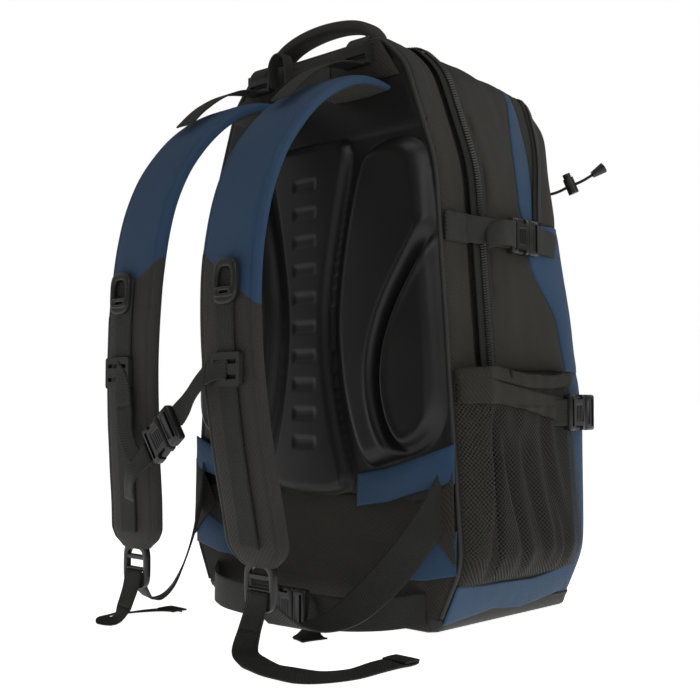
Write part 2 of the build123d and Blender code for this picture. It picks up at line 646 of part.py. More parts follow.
# ---- pocket slider at the right end of the front pocket's zip -----------------------
pocket_slider_x = 88.0
pocket_slider_z = (zip_floor + front_pocket_top - 2) / 2
pocket_face_y = front_y - 6 + front_pocket_rise + tape_rise + 2 * clear
slider_body = block(pocket_slider_x - 7, pocket_slider_x + 7, pocket_face_y, pocket_face_y + 4,
                    pocket_slider_z - 5, pocket_slider_z + 5)
hoop_y = pocket_face_y + 4 + 1.5
slider_hoop = Pos(pocket_slider_x, hoop_y, pocket_slider_z) * (Box(4.0, 3.2, 9.0) - Box(6.0, 1.9, 5.4))
put("pocket_slider", slider_body + slider_hoop)
put("pocket_pull", Pos(pocket_slider_x, hoop_y, pocket_slider_z) * Rot(0, 0, 90) * pull_shape())

# ---- write every node ---------------------------------------------------------------
os.makedirs("parts", exist_ok=True)
for name, solids in parts.items():
    export_step(Compound(children=solids), f"parts/{name}.step")
print(len(parts), "nodes,", sum(len(solids) for solids in parts.values()), "solids")
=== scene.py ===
import math
import bmesh
import bpy
import numpy as np
from mathutils import Matrix, Vector, noise
from mathutils.bvhtree import BVHTree


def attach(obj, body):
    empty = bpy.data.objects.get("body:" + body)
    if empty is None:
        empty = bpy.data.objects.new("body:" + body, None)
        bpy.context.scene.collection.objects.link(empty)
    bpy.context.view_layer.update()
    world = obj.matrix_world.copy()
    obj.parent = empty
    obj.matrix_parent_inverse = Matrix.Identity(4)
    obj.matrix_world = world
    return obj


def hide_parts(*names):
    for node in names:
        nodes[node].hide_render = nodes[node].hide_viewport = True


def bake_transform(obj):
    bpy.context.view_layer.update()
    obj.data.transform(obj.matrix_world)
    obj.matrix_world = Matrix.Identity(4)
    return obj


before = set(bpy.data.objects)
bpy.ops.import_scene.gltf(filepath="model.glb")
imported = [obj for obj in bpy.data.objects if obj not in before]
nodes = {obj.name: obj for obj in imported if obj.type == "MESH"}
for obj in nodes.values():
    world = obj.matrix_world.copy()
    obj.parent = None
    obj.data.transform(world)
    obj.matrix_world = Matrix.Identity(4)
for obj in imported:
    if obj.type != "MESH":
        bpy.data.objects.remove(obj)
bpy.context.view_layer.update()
mm = 0.001

# ---- Studio: a white paper sweep, a soft box each side, one in front and one overhead ----
bpy.ops.object.select_all(action="DESELECT")
bpy.ops.mesh.primitive_plane_add(size=120.0, location=(0, 0, -0.0006))
floor = bpy.context.object
floor.name = "studio_floor"
floor_paper = bpy.data.materials.new("white paper")
floor_paper.use_nodes = True
paper = floor_paper.node_tree.nodes["Principled BSDF"]
paper.inputs["Base Color"].default_value = (0.88, 0.88, 0.88, 1)
paper.inputs["Roughness"].default_value = 0.55
paper.inputs["Emission Color"].default_value = (1, 1, 1, 1)
paper.inputs["Emission Strength"].default_value = 0.96
floor.data.materials.append(floor_paper)

world = bpy.data.worlds.new("studio")
world.use_nodes = True
world.node_tree.nodes["Background"].inputs["Color"].default_value = (1.0, 1.0, 1.0, 1)
seen = world.node_tree.nodes.new("ShaderNodeLightPath").outputs["Is Camera Ray"]
dim = world.node_tree.nodes.new("ShaderNodeMapRange")
world.node_tree.links.new(seen, dim.inputs["Value"])
dim.inputs["To Min"].default_value = 0.10
dim.inputs["To Max"].default_value = 1.0
world.node_tree.links.new(dim.outputs[0], world.node_tree.nodes["Background"].inputs["Strength"])
bpy.context.scene.world = world
for name, place, size, power in (("right_softbox", (1.8, -0.45, 1.4), 1.1, 12.5),
                                 ("left_softbox", (-1.8, -0.9, 1.2), 1.2, 2.6),
                                 ("front_softbox", (0.6, 1.8, 1.5), 1.3, 6.0),
                                 ("overhead", (0.1, -0.2, 2.2), 1.5, 9.0)):
    lamp = bpy.data.lights.new(name, "AREA")
    lamp.size = size
    lamp.energy = power
    lamp_object = bpy.data.objects.new(name, lamp)
    lamp_object.location = place
    lamp_object.rotation_euler = (Vector((0, 0, 0.25)) - Vector(place)).to_track_quat("-Z", "Y").to_euler()
    bpy.context.scene.collection.objects.link(lamp_object)

lens = bpy.data.cameras.new("camera")
lens.lens = 56.6
lens.sensor_width = 36
camera = bpy.data.objects.new("camera", lens)
camera.location = (0.7658, -0.8434, 0.200)
look = Vector((-math.sin(math.radians(44)), math.cos(math.radians(44)), math.tan(math.radians(2.81))))
camera.rotation_euler = look.to_track_quat("-Z", "Y").to_euler()
bpy.context.scene.collection.objects.link(camera)
bpy.context.scene.camera = camera
bpy.context.scene.view_settings.view_transform = "Standard"

# ---- Bungee cord at the upper front corner: a round braided sleeve over a rubber core,
# sewn into the front seam at one end and knotted inside its moulded toggle at the other.


def pick(piece):
    """Select one object alone and make it the active one."""
    bpy.ops.object.select_all(action="DESELECT")
    piece.select_set(True)
    bpy.context.view_layer.objects.active = piece


def placed(name, data):
    """A new object in the scene that holds the given mesh or curve."""
    made = bpy.data.objects.new(name, data)
    bpy.context.scene.collection.objects.link(made)
    return made


def duplicate(piece, name):
    """A copy of a piece that has its own mesh."""
    made = piece.copy()
    made.data = piece.data.copy()
    made.name = name
    bpy.context.scene.collection.objects.link(made)
    return made


def refinish(node, finish):
    """Give a carried-over node its material."""
    nodes[node].data.materials.clear()
    nodes[node].data.materials.append(finish)


def wire(tree, kind, inputs=None, **settings):
    """Add a node, set it, and give each input a value or join it to another node's output."""
    made = tree.nodes.new(kind)
    for key, value in settings.items():
        setattr(made, key, value)
    for key, value in (inputs or {}).items():
        if isinstance(value, bpy.types.NodeSocket):
            tree.links.new(value, made.inputs[key])
        else:
            made.inputs[key].default_value = value
    return made


def calc(tree, operation, a, b=0.0):
    """One step of arithmetic."""
    return wire(tree, "ShaderNodeMath", {0: a, 1: b}, operation=operation).outputs[0]


def new_group(name, inputs, outputs):
    """An empty shader node group with named sockets."""
    group = bpy.data.node_groups.new(name, "ShaderNodeTree")
    for socket, kind, value in inputs:
        made = group.interface.new_socket(socket, in_out="INPUT", socket_type=kind)
        if value is not None:
            made.default_value = value
    for socket, kind in outputs:
        group.interface.new_socket(socket, in_out="OUTPUT", socket_type=kind)
    return group, group.nodes.new("NodeGroupInput").outputs, group.nodes.new("NodeGroupOutput")


weave, given, result = new_group(
    "woven threads",
    [("Vector", "NodeSocketVector", None), ("Across", "NodeSocketFloat", 0.001), ("Along", "NodeSocketFloat", 0.001),
     ("Step", "NodeSocketFloat", 4.0)],
    [("Height", "NodeSocketFloat"), ("Over", "NodeSocketFloat")])
spread = wire(weave, "ShaderNodeSeparateXYZ", {0: given["Vector"]}).outputs
across = calc(weave, "DIVIDE", spread[0], given["Across"])
along = calc(weave, "DIVIDE", spread[1], given["Along"])
cell = calc(weave, "ADD", calc(weave, "FLOOR", across), calc(weave, "FLOOR", along))
over = calc(weave, "LESS_THAN", calc(weave, "FRACT", calc(weave, "DIVIDE", cell, given["Step"])), 0.5)
warp = calc(weave, "SINE", calc(weave, "MULTIPLY", calc(weave, "FRACT", across), math.pi))
weft = calc(weave, "SINE", calc(weave, "MULTIPLY", calc(weave, "FRACT", along), math.pi))
high = wire(weave, "ShaderNodeMix", {0: over, 2: weft, 3: warp}, data_type="FLOAT")
weave.links.new(high.outputs[0], result.inputs["Height"])
weave.links.new(over, result.inputs["Over"])

wear, given, result = new_group(
    "wear and dust",
    [("Vector", "NodeSocketVector", None), ("Color", "NodeSocketColor", (0, 0, 0, 1)),
     ("Dust Color", "NodeSocketColor", (0.2, 0.19, 0.17, 1)), ("Dust", "NodeSocketFloat", 0.1),
     ("Variation", "NodeSocketFloat", 0.2), ("Roughness", "NodeSocketFloat", 0.6)],
    [("Color", "NodeSocketColor"), ("Roughness", "NodeSocketFloat"), ("Height", "NodeSocketFloat")])
clouds = wire(wear, "ShaderNodeTexNoise", {"Vector": given["Vector"], "Scale": 14.0, "Detail": 5.0}).outputs["Fac"]
specks = wire(wear, "ShaderNodeTexNoise", {"Vector": given["Vector"], "Scale": 900.0, "Detail": 2.0}).outputs["Fac"]
shade = calc(wear, "ADD", 1.0, calc(wear, "MULTIPLY", calc(wear, "SUBTRACT", clouds, 0.5), given["Variation"]))
tinted = wire(wear, "ShaderNodeMix", {0: 1.0, 6: given["Color"], 7: wire(
    wear, "ShaderNodeCombineColor", {0: shade, 1: shade, 2: shade}).outputs[0]}, data_type="RGBA",
              blend_type="MULTIPLY")
dusty = calc(wear, "MULTIPLY", calc(wear, "MULTIPLY", clouds, specks), given["Dust"])
dusted = wire(wear, "ShaderNodeMix", {0: dusty, 6: tinted.outputs[2], 7: given["Dust Color"]}, data_type="RGBA")
rough = calc(wear, "ADD", given["Roughness"], calc(wear, "MULTIPLY", calc(wear, "SUBTRACT", clouds, 0.5), 0.18))
wear.links.new(dusted.outputs[2], result.inputs["Color"])
wear.links.new(rough, result.inputs["Roughness"])
wear.links.new(clouds, result.inputs["Height"])


def new_material(name, metallic=0.0, sheen=0.0, coat=0.0, gloss=0.12):
    """A material with its shader, ready for a finish to be wired in."""
    made = bpy.data.materials.new(name)
    made.use_nodes = True
    shader = made.node_tree.nodes["Principled BSDF"]
    shader.inputs["Metallic"].default_value = metallic
    shader.inputs["Specular IOR Level"].default_value = gloss
    shader.inputs["Sheen Weight"].default_value = sheen
    shader.inputs["Sheen Roughness"].default_value = 0.45
    shader.inputs["Coat Weight"].default_value = coat
    shader.inputs["Coat Roughness"].default_value = 0.12
    return made, made.node_tree, shader, wire(made.node_tree, "ShaderNodeTexCoord").outputs


def blended(tree, amount, low, high):
    """A colour some way from one colour to another."""
    return wire(tree, "ShaderNodeMix", {0: amount, 6: low, 7: high}, data_type="RGBA").outputs[2]


def worn(tree, shader, layout, colour, roughness, **others):
    """Dust and shade a colour as the whole bag is, and wire it into the shader."""
    used = wire(tree, "ShaderNodeGroup", {"Vector": layout["Object"], "Color": colour, "Roughness": roughness,
                                          **others}, node_tree=wear)
    for channel, target in (("Color", "Base Color"), ("Roughness", "Roughness")):
        tree.links.new(used.outputs[channel], shader.inputs[target])


def creased(tree, shader, layout, height, relief, scale, depth):
    """Raise the threads of a cloth by their height, over its soft creases."""
    threads = wire(tree, "ShaderNodeBump", {"Height": height, "Distance": relief, "Strength": 0.8})
    soft = wire(tree, "ShaderNodeTexNoise", {"Vector": layout["Object"], "Scale": scale, "Detail": 3.0})
    rumple = wire(tree, "ShaderNodeBump", {"Height": soft.outputs["Fac"], "Distance": depth, "Strength": 0.5,
                                           "Normal": threads.outputs[0]})
    tree.links.new(rumple.outputs[0], shader.inputs["Normal"])


def cloth_finish(name, colour, pitch, step, roughness, relief, sheen=0.03, dust=0.12, variation=0.35, wide=1.0):
    """A woven fabric whose threads follow the piece's own UV map, in metres. Its colour carries painted shade in the
    gaps between threads and a painted highlight on the threads that lie on top.
    """
    made, tree, shader, layout = new_material(name, sheen=sheen)
    threads = wire(tree, "ShaderNodeGroup", {"Vector": layout["UV"], "Across": pitch * wide, "Along": pitch,
                                             "Step": step}, node_tree=weave).outputs
    # The darker copy of the colour is painted shade for the gaps between threads; the lighter copy is a painted
    # highlight on the threads lying on top.
    dark, painted_top_thread_highlight = ((*(min(1, c * scale) for c in colour), 1) for scale in (0.22, 1.5))
    thread_colour_with_painted_shade = blended(tree, threads["Height"], dark, (*colour, 1))
    turned = blended(tree, calc(tree, "MULTIPLY", threads["Over"], 0.5), thread_colour_with_painted_shade, painted_top_thread_highlight)
    worn(tree, shader, layout, turned, roughness, Dust=dust, Variation=variation)
    creased(tree, shader, layout, threads["Height"], relief, 55.0, 0.0012)
    return made


def moulded_finish(name, colour, roughness, grain, grain_size, relief, coat=0.0, metallic=0.0, dust=0.1, gloss=0.3):
    """Moulded plastic, foam or metal with a fine grain in the object's own space."""
    made, tree, shader, layout = new_material(name, metallic=metallic, coat=coat, gloss=gloss)
    worn(tree, shader, layout, (*colour, 1), roughness, Dust=dust, Variation=0.3)
    if grain == "pebble":
        texture = wire(tree, "ShaderNodeTexVoronoi", {"Vector": layout["Object"], "Scale": 1 / grain_size})
        height = texture.outputs["Distance"]
    else:
        texture = wire(tree, "ShaderNodeTexNoise", {"Vector": layout["Object"], "Scale": 1 / grain_size, "Detail": 4.0})
        height = texture.outputs["Fac"]
    bump = wire(tree, "ShaderNodeBump", {"Height": height, "Distance": relief, "Strength": 0.6})
    tree.links.new(bump.outputs[0], shader.inputs["Normal"])
    return made


braid = cloth_finish("braided elastic sleeve", (0.016, 0.016, 0.016), 0.0009, 2.0, 0.6, 0.0003)
bungee_points = [(118.7, 114.1, 417), (125, 120.4, 418), (131.5, 127, 421), (137.5, 133, 425.5),
                 (143.5, 139, 429), (150, 145.5, 433), (156.5, 152, 439)]
line = bpy.data.curves.new("bungee", "CURVE")
line.dimensions = "3D"
spline = line.splines.new("NURBS")
spline.points.add(len(bungee_points) - 1)
for point, place in zip(spline.points, bungee_points):
    point.co = (*(c * mm for c in place), 1)
spline.order_u = 3
spline.use_endpoint_u = True
spline.resolution_u = 10
line.bevel_depth = 0.0015
line.bevel_resolution = 5
line.materials.append(braid)
bungee = placed("bungee_braid", line)
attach(bungee, "lid")
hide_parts("bungee_cord")
[c * mm for c in bungee_points[0]]

# ---- Outer cloth of the bag: heavy black twill and navy nylon panels, sewn edge to edge
# over a thin foam. Each panel is laid on the bag's outer shape and dips along its seams.
skin_points, skin_faces = [], []
for name in ("rear_gusset", "lower_shell", "lid_shell", "base_panel", "back_board"):
    start = len(skin_points)
    skin_points += [v.co.copy() for v in nodes[name].data.vertices]
    skin_faces += [[i + start for i in face.vertices] for face in nodes[name].data.polygons]
bag_shape = BVHTree.FromPolygons(skin_points, skin_faces)
crown = 430 * mm         # above this height the side wall is followed round over the top
arch = 200 * mm          # length of cloth from that height to the middle of the top


def outside(start, way):
    """Where a line from inside the bag leaves its outer face, and the outward normal there."""
    way = Vector(way).normalized()
    hit = bag_shape.ray_cast(Vector(start) + way, -way)
    if hit[0] is None:
        return Vector(start), way
    return hit[0], hit[1] if hit[1].dot(way) > 0 else -hit[1]


def eased(cast, a, b, reach):
    """The mean of several casts round a spot, so that hard corners of the shape turn softly."""
    spot, out = cast(a, b)
    if reach <= 0:
        return spot, out
    points, normals = [spot], [out]
    for da, db in ((1, 0), (-1, 0), (0, 1), (0, -1), (0.5, 0.5), (-0.5, -0.5), (0.5, -0.5), (-0.5, 0.5)):
        near, way = cast(a + da * reach, b + db * reach)
        points.append(near)
        normals.append(way)
    mean = sum(points, Vector()) / len(points)
    out = sum(normals, Vector()).normalized()
    return spot + out * (mean - spot).dot(out), out


def past_fold(x, y, height, way):
    """A cast at a height, bridging the narrow gap at the fold where the front opens."""
    share = (height - 0.2265) / 0.009
    if not 0 < share < 1:
        return outside((x, y, height), way)
    low, high = outside((x, y, 0.2265), way), outside((x, y, 0.2355), way)
    return low[0].lerp(high[0], share), low[1].lerp(high[1], share).normalized()


def wall_cast(height, y):
    """The right side at a height: up the wall, then round over the top to the middle."""
    if height <= crown:
        return past_fold(0, y, height, (1, 0, 0))
    turn = min(1.0, (height - crown) / arch) * math.pi / 2
    return outside((0, y, crown), (math.cos(turn), 0, math.sin(turn)))


def side_wall(height, y):
    """A point of the right side with its corners eased, except close to the back seam and the floor."""
    reach = min(0.011, (y + 0.0985) * 0.6, (height - 0.004) * 0.6, max(0.0, (0.630 - height) * 0.6 + 0.002))
    return eased(wall_cast, height, y, reach)


def front_cast(x, z):
    """The front face straight ahead of a point across and up."""
    return past_fold(x, 0, z, (0, 1, 0))


def along_list(pairs, at):
    """A value read off a list of (place, value) pairs, in millimetres, smoothed between them."""
    places = [p[0] * mm for p in pairs]
    values = [p[1] * mm for p in pairs]
    near = [np.interp(at + step, places, values) for step in (-0.009, -0.0045, 0, 0.0045, 0.009)]
    return float(np.mean(near))


def lay_cloth(name, columns, rows, place, outward, soften=0):
    """Lay a flat grid of cloth so that each point lands at place(u, v). Its UV map is in metres."""
    bpy.ops.object.select_all(action="DESELECT")
    bpy.ops.mesh.primitive_grid_add(x_subdivisions=columns, y_subdivisions=rows, size=1.0)
    piece = bpy.context.object
    piece.name = name
    mesh = piece.data
    spots = np.zeros((rows + 1, columns + 1, 3))
    order = []
    for vertex in mesh.vertices:
        u, v = vertex.co.x + 0.5, vertex.co.y + 0.5
        i, j = round(v * rows), round(u * columns)
        spots[i, j] = place(j / columns, i / rows)
        order.append((i, j))
    for _ in range(soften):
        spots[1:-1, 1:-1] = spots[1:-1, 1:-1] * 0.5 + (spots[:-2, 1:-1] + spots[2:, 1:-1] + spots[1:-1, :-2]
                                                       + spots[1:-1, 2:]) * 0.125
    for vertex, (i, j) in zip(mesh.vertices, order):
        vertex.co = spots[i, j]
    steps = np.linalg.norm(np.diff(spots, axis=1), axis=2)
    u_run = np.concatenate([np.zeros((rows + 1, 1)), np.cumsum(steps, axis=1)], axis=1)
    u_run -= u_run[:, -1:] / 2
    middle = spots[:, columns // 2]
    v_run = np.concatenate([[0], np.cumsum(np.linalg.norm(np.diff(middle, axis=0), axis=1))])
    layer = mesh.uv_layers.active or mesh.uv_layers.new()
    for loop in mesh.loops:
        i, j = order[loop.vertex_index]
        layer.data[loop.index].uv = (u_run[i, j], v_run[i])
    mesh.update()
    lean = sum(face.normal.dot(Vector(outward)) * face.area for face in mesh.polygons)
    if lean < 0:
        mesh.flip_normals()
    bpy.ops.object.shade_smooth()
    return piece


def apply_modifier(piece, kind, **settings):
    """Add one modifier to a piece and apply it."""
    pick(piece)
    made = piece.modifiers.new(kind.lower(), kind)
    for key, value in settings.items():
        setattr(made, key, value)
    bpy.ops.object.modifier_apply(modifier=made.name)


def sew(piece, finish, body, replaced=(), thickness=0.0012, mirrored=False, joined=False):
    """Give a cloth piece its thickness, its other side, its finish and its body."""
    if thickness:
        apply_modifier(piece, "SOLIDIFY", thickness=thickness, offset=-1.0)
    if mirrored:
        apply_modifier(piece, "MIRROR", use_mirror_merge=joined, merge_threshold=0.0002)
    piece.data.materials.clear()
    piece.data.materials.append(finish)
    if body:
        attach(piece, body)
    if replaced:
        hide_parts(*replaced)
    return piece


def seam_dip(u, v, width, length, ends=(1, 1, 1, 1)):
    """How far cloth dips into the seams round a panel: left, right, low and high edges."""
    near = [d for d, used in zip((u * width, (1 - u) * width, v * length, (1 - v) * length), ends) if used]
    return 0.0014 * math.exp(-min(near) / 0.0035) if near else 0.0


panel_mesh = 3.2         # size of a panel's mesh faces, in millimetres
fold_low = 230.7         # top edge of the cloth under the fold that the front opens on
fold_high = 230.9        # bottom edge of the cloth above it


def panel_on_side(name, low, high, back_edge, front_edge, folds, rise=0.0, ends=(1, 1, 1, 1)):
    """A cloth panel on the right wall, between two heights and two edges given as lists."""
    tall = (high - low) * mm
    wide = max(abs(front_edge[k][1] - back_edge[0][1]) for k in range(len(front_edge))) * mm
    columns, rows = max(4, int(wide / panel_mesh * 1000)), max(6, int(tall / panel_mesh * 1000))

    def place(u, v):
        height = low * mm + v * tall
        y0, y1 = along_list(back_edge, height), along_list(front_edge, height)
        y = y0 + u * (y1 - y0)
        spot, out = side_wall(height, y)
        lift = 0.0016 + rise - seam_dip(u, v, abs(y1 - y0), tall, ends)
        easing = min(1.0, u * (1 - u) * 5) * min(1.0, v * 8)
        ripple = noise.noise(Vector((y * 26, 3.7, height * 5))) + 0.5 * noise.noise(Vector((y * 60, 9.1, height * 14)))
        return spot + out * (lift + folds * ripple * easing)

    return lay_cloth(name, columns, rows, place, (1, 0, 0.4), soften=6)


twill = cloth_finish("black twill", (0.026, 0.0252, 0.0205), 0.0011, 4.0, 0.62, 0.0006, sheen=0.02)
navy = cloth_finish("navy nylon", (0.022, 0.060, 0.125), 0.0006, 2.0, 0.5, 0.00022, sheen=0.04, variation=0.25)
gusset_back = [(0, -99.4), (700, -99.4)]
zip_back = [(0, -46.0), (700, -46.0)]
zip_front = [(0, -44.6), (700, -44.6)]
side_break = [(231, 80), (286, 69), (301, 57), (317, 42), (333, 31), (370, 30), (384, 21), (421, 22), (452, 32),
              (479, 42), (505, 52), (540, 60), (630, 62)]
stripe_front = [(370, 42), (401, 44), (421, 47), (445, 54), (469, 58), (489, 60), (505, 59), (540, 60), (630, 62)]
front_seam = [(0, 124), (14, 127), (60, 136), (180, 139), (275, 133), (351, 122), (418, 116), (476, 112), (520, 104),
              (640, 104)]
gusset = panel_on_side("rear_gusset_cloth", 15, 630, gusset_back, zip_back, 0.0012, ends=(1, 1, 0, 0))
sew(gusset, twill, "pack", ("rear_gusset",), mirrored=True, joined=True)
lower_side = panel_on_side("lower_side_cloth", 15, fold_low, zip_front, [(0, 76), (700, 76)], 0.0010)
# The wall under the pocket net is near black: partly the cloth's own dark colour and partly painted shade for the
# inside of the pocket.
sew(lower_side, cloth_finish("pocket backing cloth", (0.007, 0.007, 0.006), 0.0011, 2.0, 0.8, 0.0003), "pack",
    mirrored=True)
lid_side = panel_on_side("lid_side_cloth", fold_high, 630, zip_front, side_break, 0.0026, ends=(1, 1, 1, 0))
sew(lid_side, twill, "lid", ("lid_shell",), mirrored=True, joined=True)
stripe = panel_on_side("navy_side_stripe", 374, 540, side_break, stripe_front, 0.0006, rise=0.0004)
sew(stripe, navy, "lid", mirrored=True)
front_strip = panel_on_side("front_strip_cloth", 374, 630, stripe_front, front_seam, 0.0012, ends=(1, 1, 1, 0))
sew(front_strip, twill, "lid", mirrored=True, joined=True)
navy_corner = panel_on_side("navy_front_corner", fold_high, 374.3, side_break, front_seam, 0.0028)
sew(navy_corner, navy, "lid", mirrored=True)
lower_corner = panel_on_side("navy_lower_corner", 15, fold_low, [(0, 76), (700, 76)], front_seam, 0.0014)
sew(lower_corner, navy, "pack", mirrored=True)


def front_face(name, low, high, over_top, folds, rise=0.0):
    """A cloth panel on the front, between the two front corner seams."""
    turn = 530 * mm if over_top else high * mm

    def corner_height(v):
        return low * mm + v * (turn - low * mm)

    def corner(v):
        return side_wall(corner_height(v), along_list(front_seam, corner_height(v)))[0]

    def place(u, v):
        side = abs(2 * u - 1)
        edge = corner(v)
        x, z = edge.x * side, edge.z
        if over_top:
            across = side_wall(turn + (1 - side) * (630 * mm - turn), along_list(front_seam, 0.6))[0]
            z += (across.z - corner(1.0).z) * v
        x = math.copysign(x, u - 0.5)
        spot, out = eased(front_cast, x, z, min(0.011, (z - 0.004) * 0.6))
        seam = side_wall(corner_height(v), along_list(front_seam, corner_height(v)))[0]
        if side > 0.94:
            spot = spot.lerp(Vector((math.copysign(seam.x, x), seam.y, seam.z)), (side - 0.94) / 0.06)
        if over_top and v > 0.94:
            rim_point = Vector((math.copysign(across.x, x), across.y, across.z))
            spot = spot.lerp(rim_point, (v - 0.94) / 0.06)
        lift = 0.0016 + rise - seam_dip(u, v, 0.25, (high - low) * mm)
        ripple = noise.noise(Vector((x * 16, 1.3, z * 22)))
        return spot + out * (lift + folds * ripple * min(1.0, u * (1 - u) * 6) * min(1.0, v * (1 - v) * 6))

    return lay_cloth(name, 84, int((high - low) / 3.4), place, (0, 1, 0), soften=6)


lower_front = front_face("navy_lower_front", 15, fold_low, False, 0.0022)
sew(lower_front, navy, "pack", ("lower_shell",))
upper_front = front_face("lid_front_cloth", fold_high, 530, True, 0.0008)
sew(upper_front, twill, "lid")

# Fold tape: a black strip inside the fold that the front opens on, so that no gap shows.
fold_side = panel_on_side("fold_tape_side", 222, 240, zip_front, [(0, 141), (700, 141)], 0.0, rise=-0.0030,
                          ends=(0, 0, 0, 0))
sew(fold_side, twill, "pack", mirrored=True)
fold_front = front_face("fold_tape_front", 222, 240, False, 0.0, rise=-0.0030)
sew(fold_front, twill, "pack")

# Base: a coated black boot, turned up round the foot of the bag.
coated = cloth_finish("coated base cloth", (0.018, 0.018, 0.017), 0.0011, 2.0, 0.5, 0.0003, dust=0.3)


def boot(u, v):
    turn = u * math.tau
    way = Vector((math.cos(turn), math.sin(turn), 0))
    low_rim = outside((0, 20 * mm, 3 * mm), way)[0]
    if v < 0.7:
        spot = Vector((0, 20 * mm, 0)).lerp(Vector((low_rim.x, low_rim.y, 0)), v / 0.7 * 0.985)
        return Vector((spot.x, spot.y, 0.0006))
    spot, out = outside((0, 20 * mm, (1.5 + (v - 0.7) / 0.3 * 15) * mm), way)
    return spot + out * 0.0012


base = lay_cloth("base_boot", 144, 36, boot, (0, 0, -1))
apply_modifier(base, "WELD", merge_threshold=0.00005)
sew(base, coated, "pack", ("base_panel",))

# ---- Moulded back panel: one sheet of thick foam pressed hot under a black film, with a
# waisted spine, two big pads and a teardrop island in each, all ringed by deep channels.


def half_width(z):
    """Half the width of the back at a height."""
    return float(np.interp(z / mm, (0, 62, 415, 512, 540), (150, 180, 153, 118, 88))) * mm


def rounded(points, times=3):
    """A closed outline with its corners cut again and again until it is smooth."""
    points = np.array(points, float)
    for _ in range(times):
        ahead = np.roll(points, -1, axis=0)
        points = np.stack([points * 0.75 + ahead * 0.25, points * 0.25 + ahead * 0.75], axis=1).reshape(-1, 2)
    return points


def depth_inside(outline, x, z):
    """How far a point is inside a closed outline; outside it the value is negative."""
    a, b = outline, np.roll(outline, -1, axis=0)
    run = b - a
    share = np.clip(((x - a[:, 0]) * run[:, 0] + (z - a[:, 1]) * run[:, 1]) / (run ** 2).sum(axis=1), 0, 1)
    near = np.hypot(x - a[:, 0] - run[:, 0] * share, z - a[:, 1] - run[:, 1] * share).min()
    crossed = (a[:, 1] > z) != (b[:, 1] > z)
    with np.errstate(divide="ignore", invalid="ignore"):
        at = a[:, 0] + (z - a[:, 1]) / run[:, 1] * run[:, 0]
    return near if (crossed & (x < at)).sum() % 2 else -near


def step_up(distance, width):
    """A rounded shoulder: nothing before the edge, full height after the width."""
    t = min(1.0, max(0.0, distance / width))
    return math.sin(t * math.pi / 2) ** 0.8


spine_edge = rounded([(0, 452), (30, 452), (58, 448), (44, 385), (31, 320), (27, 275), (32, 220), (46, 160), (56, 122),
                      (30, 114), (0, 114), (-40, 114), (-70, 280), (-70, 452)], 2)
big_pad = rounded([(76, 441), (140, 441), (152, 400), (158, 350), (165, 250), (167, 195), (152, 162), (100, 148),
                   (70, 140),
                   (48, 200), (39, 260), (40, 300), (50, 360), (64, 415)], 3)
island = rounded([(168, 372), (140, 330), (112, 288), (97, 250), (94, 215), (103, 178), (122, 156), (148, 166),
                  (168, 190), (173, 240), (172, 310)], 3)


def back_depth(x, z):
    """How far the foam stands off the back board, in millimetres."""
    x = abs(x)
    depth = 1.2
    spine = depth_inside(spine_edge, x, z)
    if spine > 0:
        bars = 0.0
        if x < 16 and 150 < z < 425:
            bars = 1.5 * step_up(5.5 - abs((z - 150) % 27.5 - 13.75), 3) * step_up(16 - x, 4)
        return depth + 10.5 * step_up(spine, 10) + 2.5 * (1 - (x / 60) ** 2) - bars
    pad = depth_inside(big_pad, x, z)
    if pad > 0:
        drop = depth_inside(island, x, z)
        swell = (3.0 * math.sin(math.pi * min(1, max(0, (x - 38) / 126)))
                 * math.sin(math.pi * min(1, max(0, (z - 140) / 302))))
        groove = math.exp(-(drop / 4.5) ** 2)
        lip = 1.6 * math.exp(-((drop + 9) / 3.5) ** 2) + 1.6 * math.exp(-((drop - 9) / 3.5) ** 2)
        height = 15.0 * step_up(pad, 15) + swell + lip * step_up(pad, 12)
        return depth + height - (height - 3.5) * groove * step_up(pad, 6)
    if z > 441 and x < 150:
        return depth + 1.5 * step_up(z - 448, 8) * step_up(500 - z, 10)
    return depth


def back_spot(u, v):
    z = (112 + v * 404) * mm
    x = (2 * u - 1) * (half_width(z) - 1.0 * mm)
    edge = half_width(z) - abs(x)
    depth = back_depth(x / mm, z / mm) * min(1.0, edge / (7 * mm))
    return Vector((x, (-100.3 - depth) * mm, z))


foam = moulded_finish("pressed foam film", (0.006, 0.006, 0.006), 0.42, "pebble", 0.0011, 0.00009, dust=0.04,
                      gloss=0.25)
back = lay_cloth("moulded_back", 168, 196, back_spot, (0, -1, 0))
sew(back, foam, "pack", ("spine_pad", "back_pads"), thickness=0)
refinish("back_board", foam)

# Lower back: black twill over the board, with a navy band at the small of the back, a
# navy patch below it, and the triangular wings that the lower webbing is sewn to.


def back_patch(name, outline, finish, lift, replaced=(), crown_height=2.0, thickness=0.0012):
    """A flat cloth patch on the back with four curved edges, puffed a little in its middle."""
    low, high, left, right = (np.array(edge, float) for edge in outline)

    def edge_at(edge, t):
        run = np.concatenate([[0], np.cumsum(np.hypot(*np.diff(edge, axis=0).T))])
        return np.array([np.interp(t * run[-1], run, edge[:, 0]), np.interp(t * run[-1], run, edge[:, 1])])

    def place(u, v):
        spot = ((1 - v) * edge_at(low, u) + v * edge_at(high, u) + (1 - u) * edge_at(left, v) + u * edge_at(right, v)
                - (1 - u) * (1 - v) * low[0] - u * (1 - v) * low[-1] - (1 - u) * v * high[0] - u * v * high[-1])
        puff = crown_height * (4 * u * (1 - u)) ** 0.5 * (4 * v * (1 - v)) ** 0.5
        puff += 0.7 * noise.noise(Vector((spot[0] * 0.03, spot[1] * 0.05, lift)))
        return Vector((spot[0], back_y - lift - puff, spot[1])) * mm

    patch = lay_cloth(name, 44, 26, place, (0, -1, 0))
    return sew(patch, finish, "pack", replaced, thickness=thickness, mirrored=low[0][0] > 0)


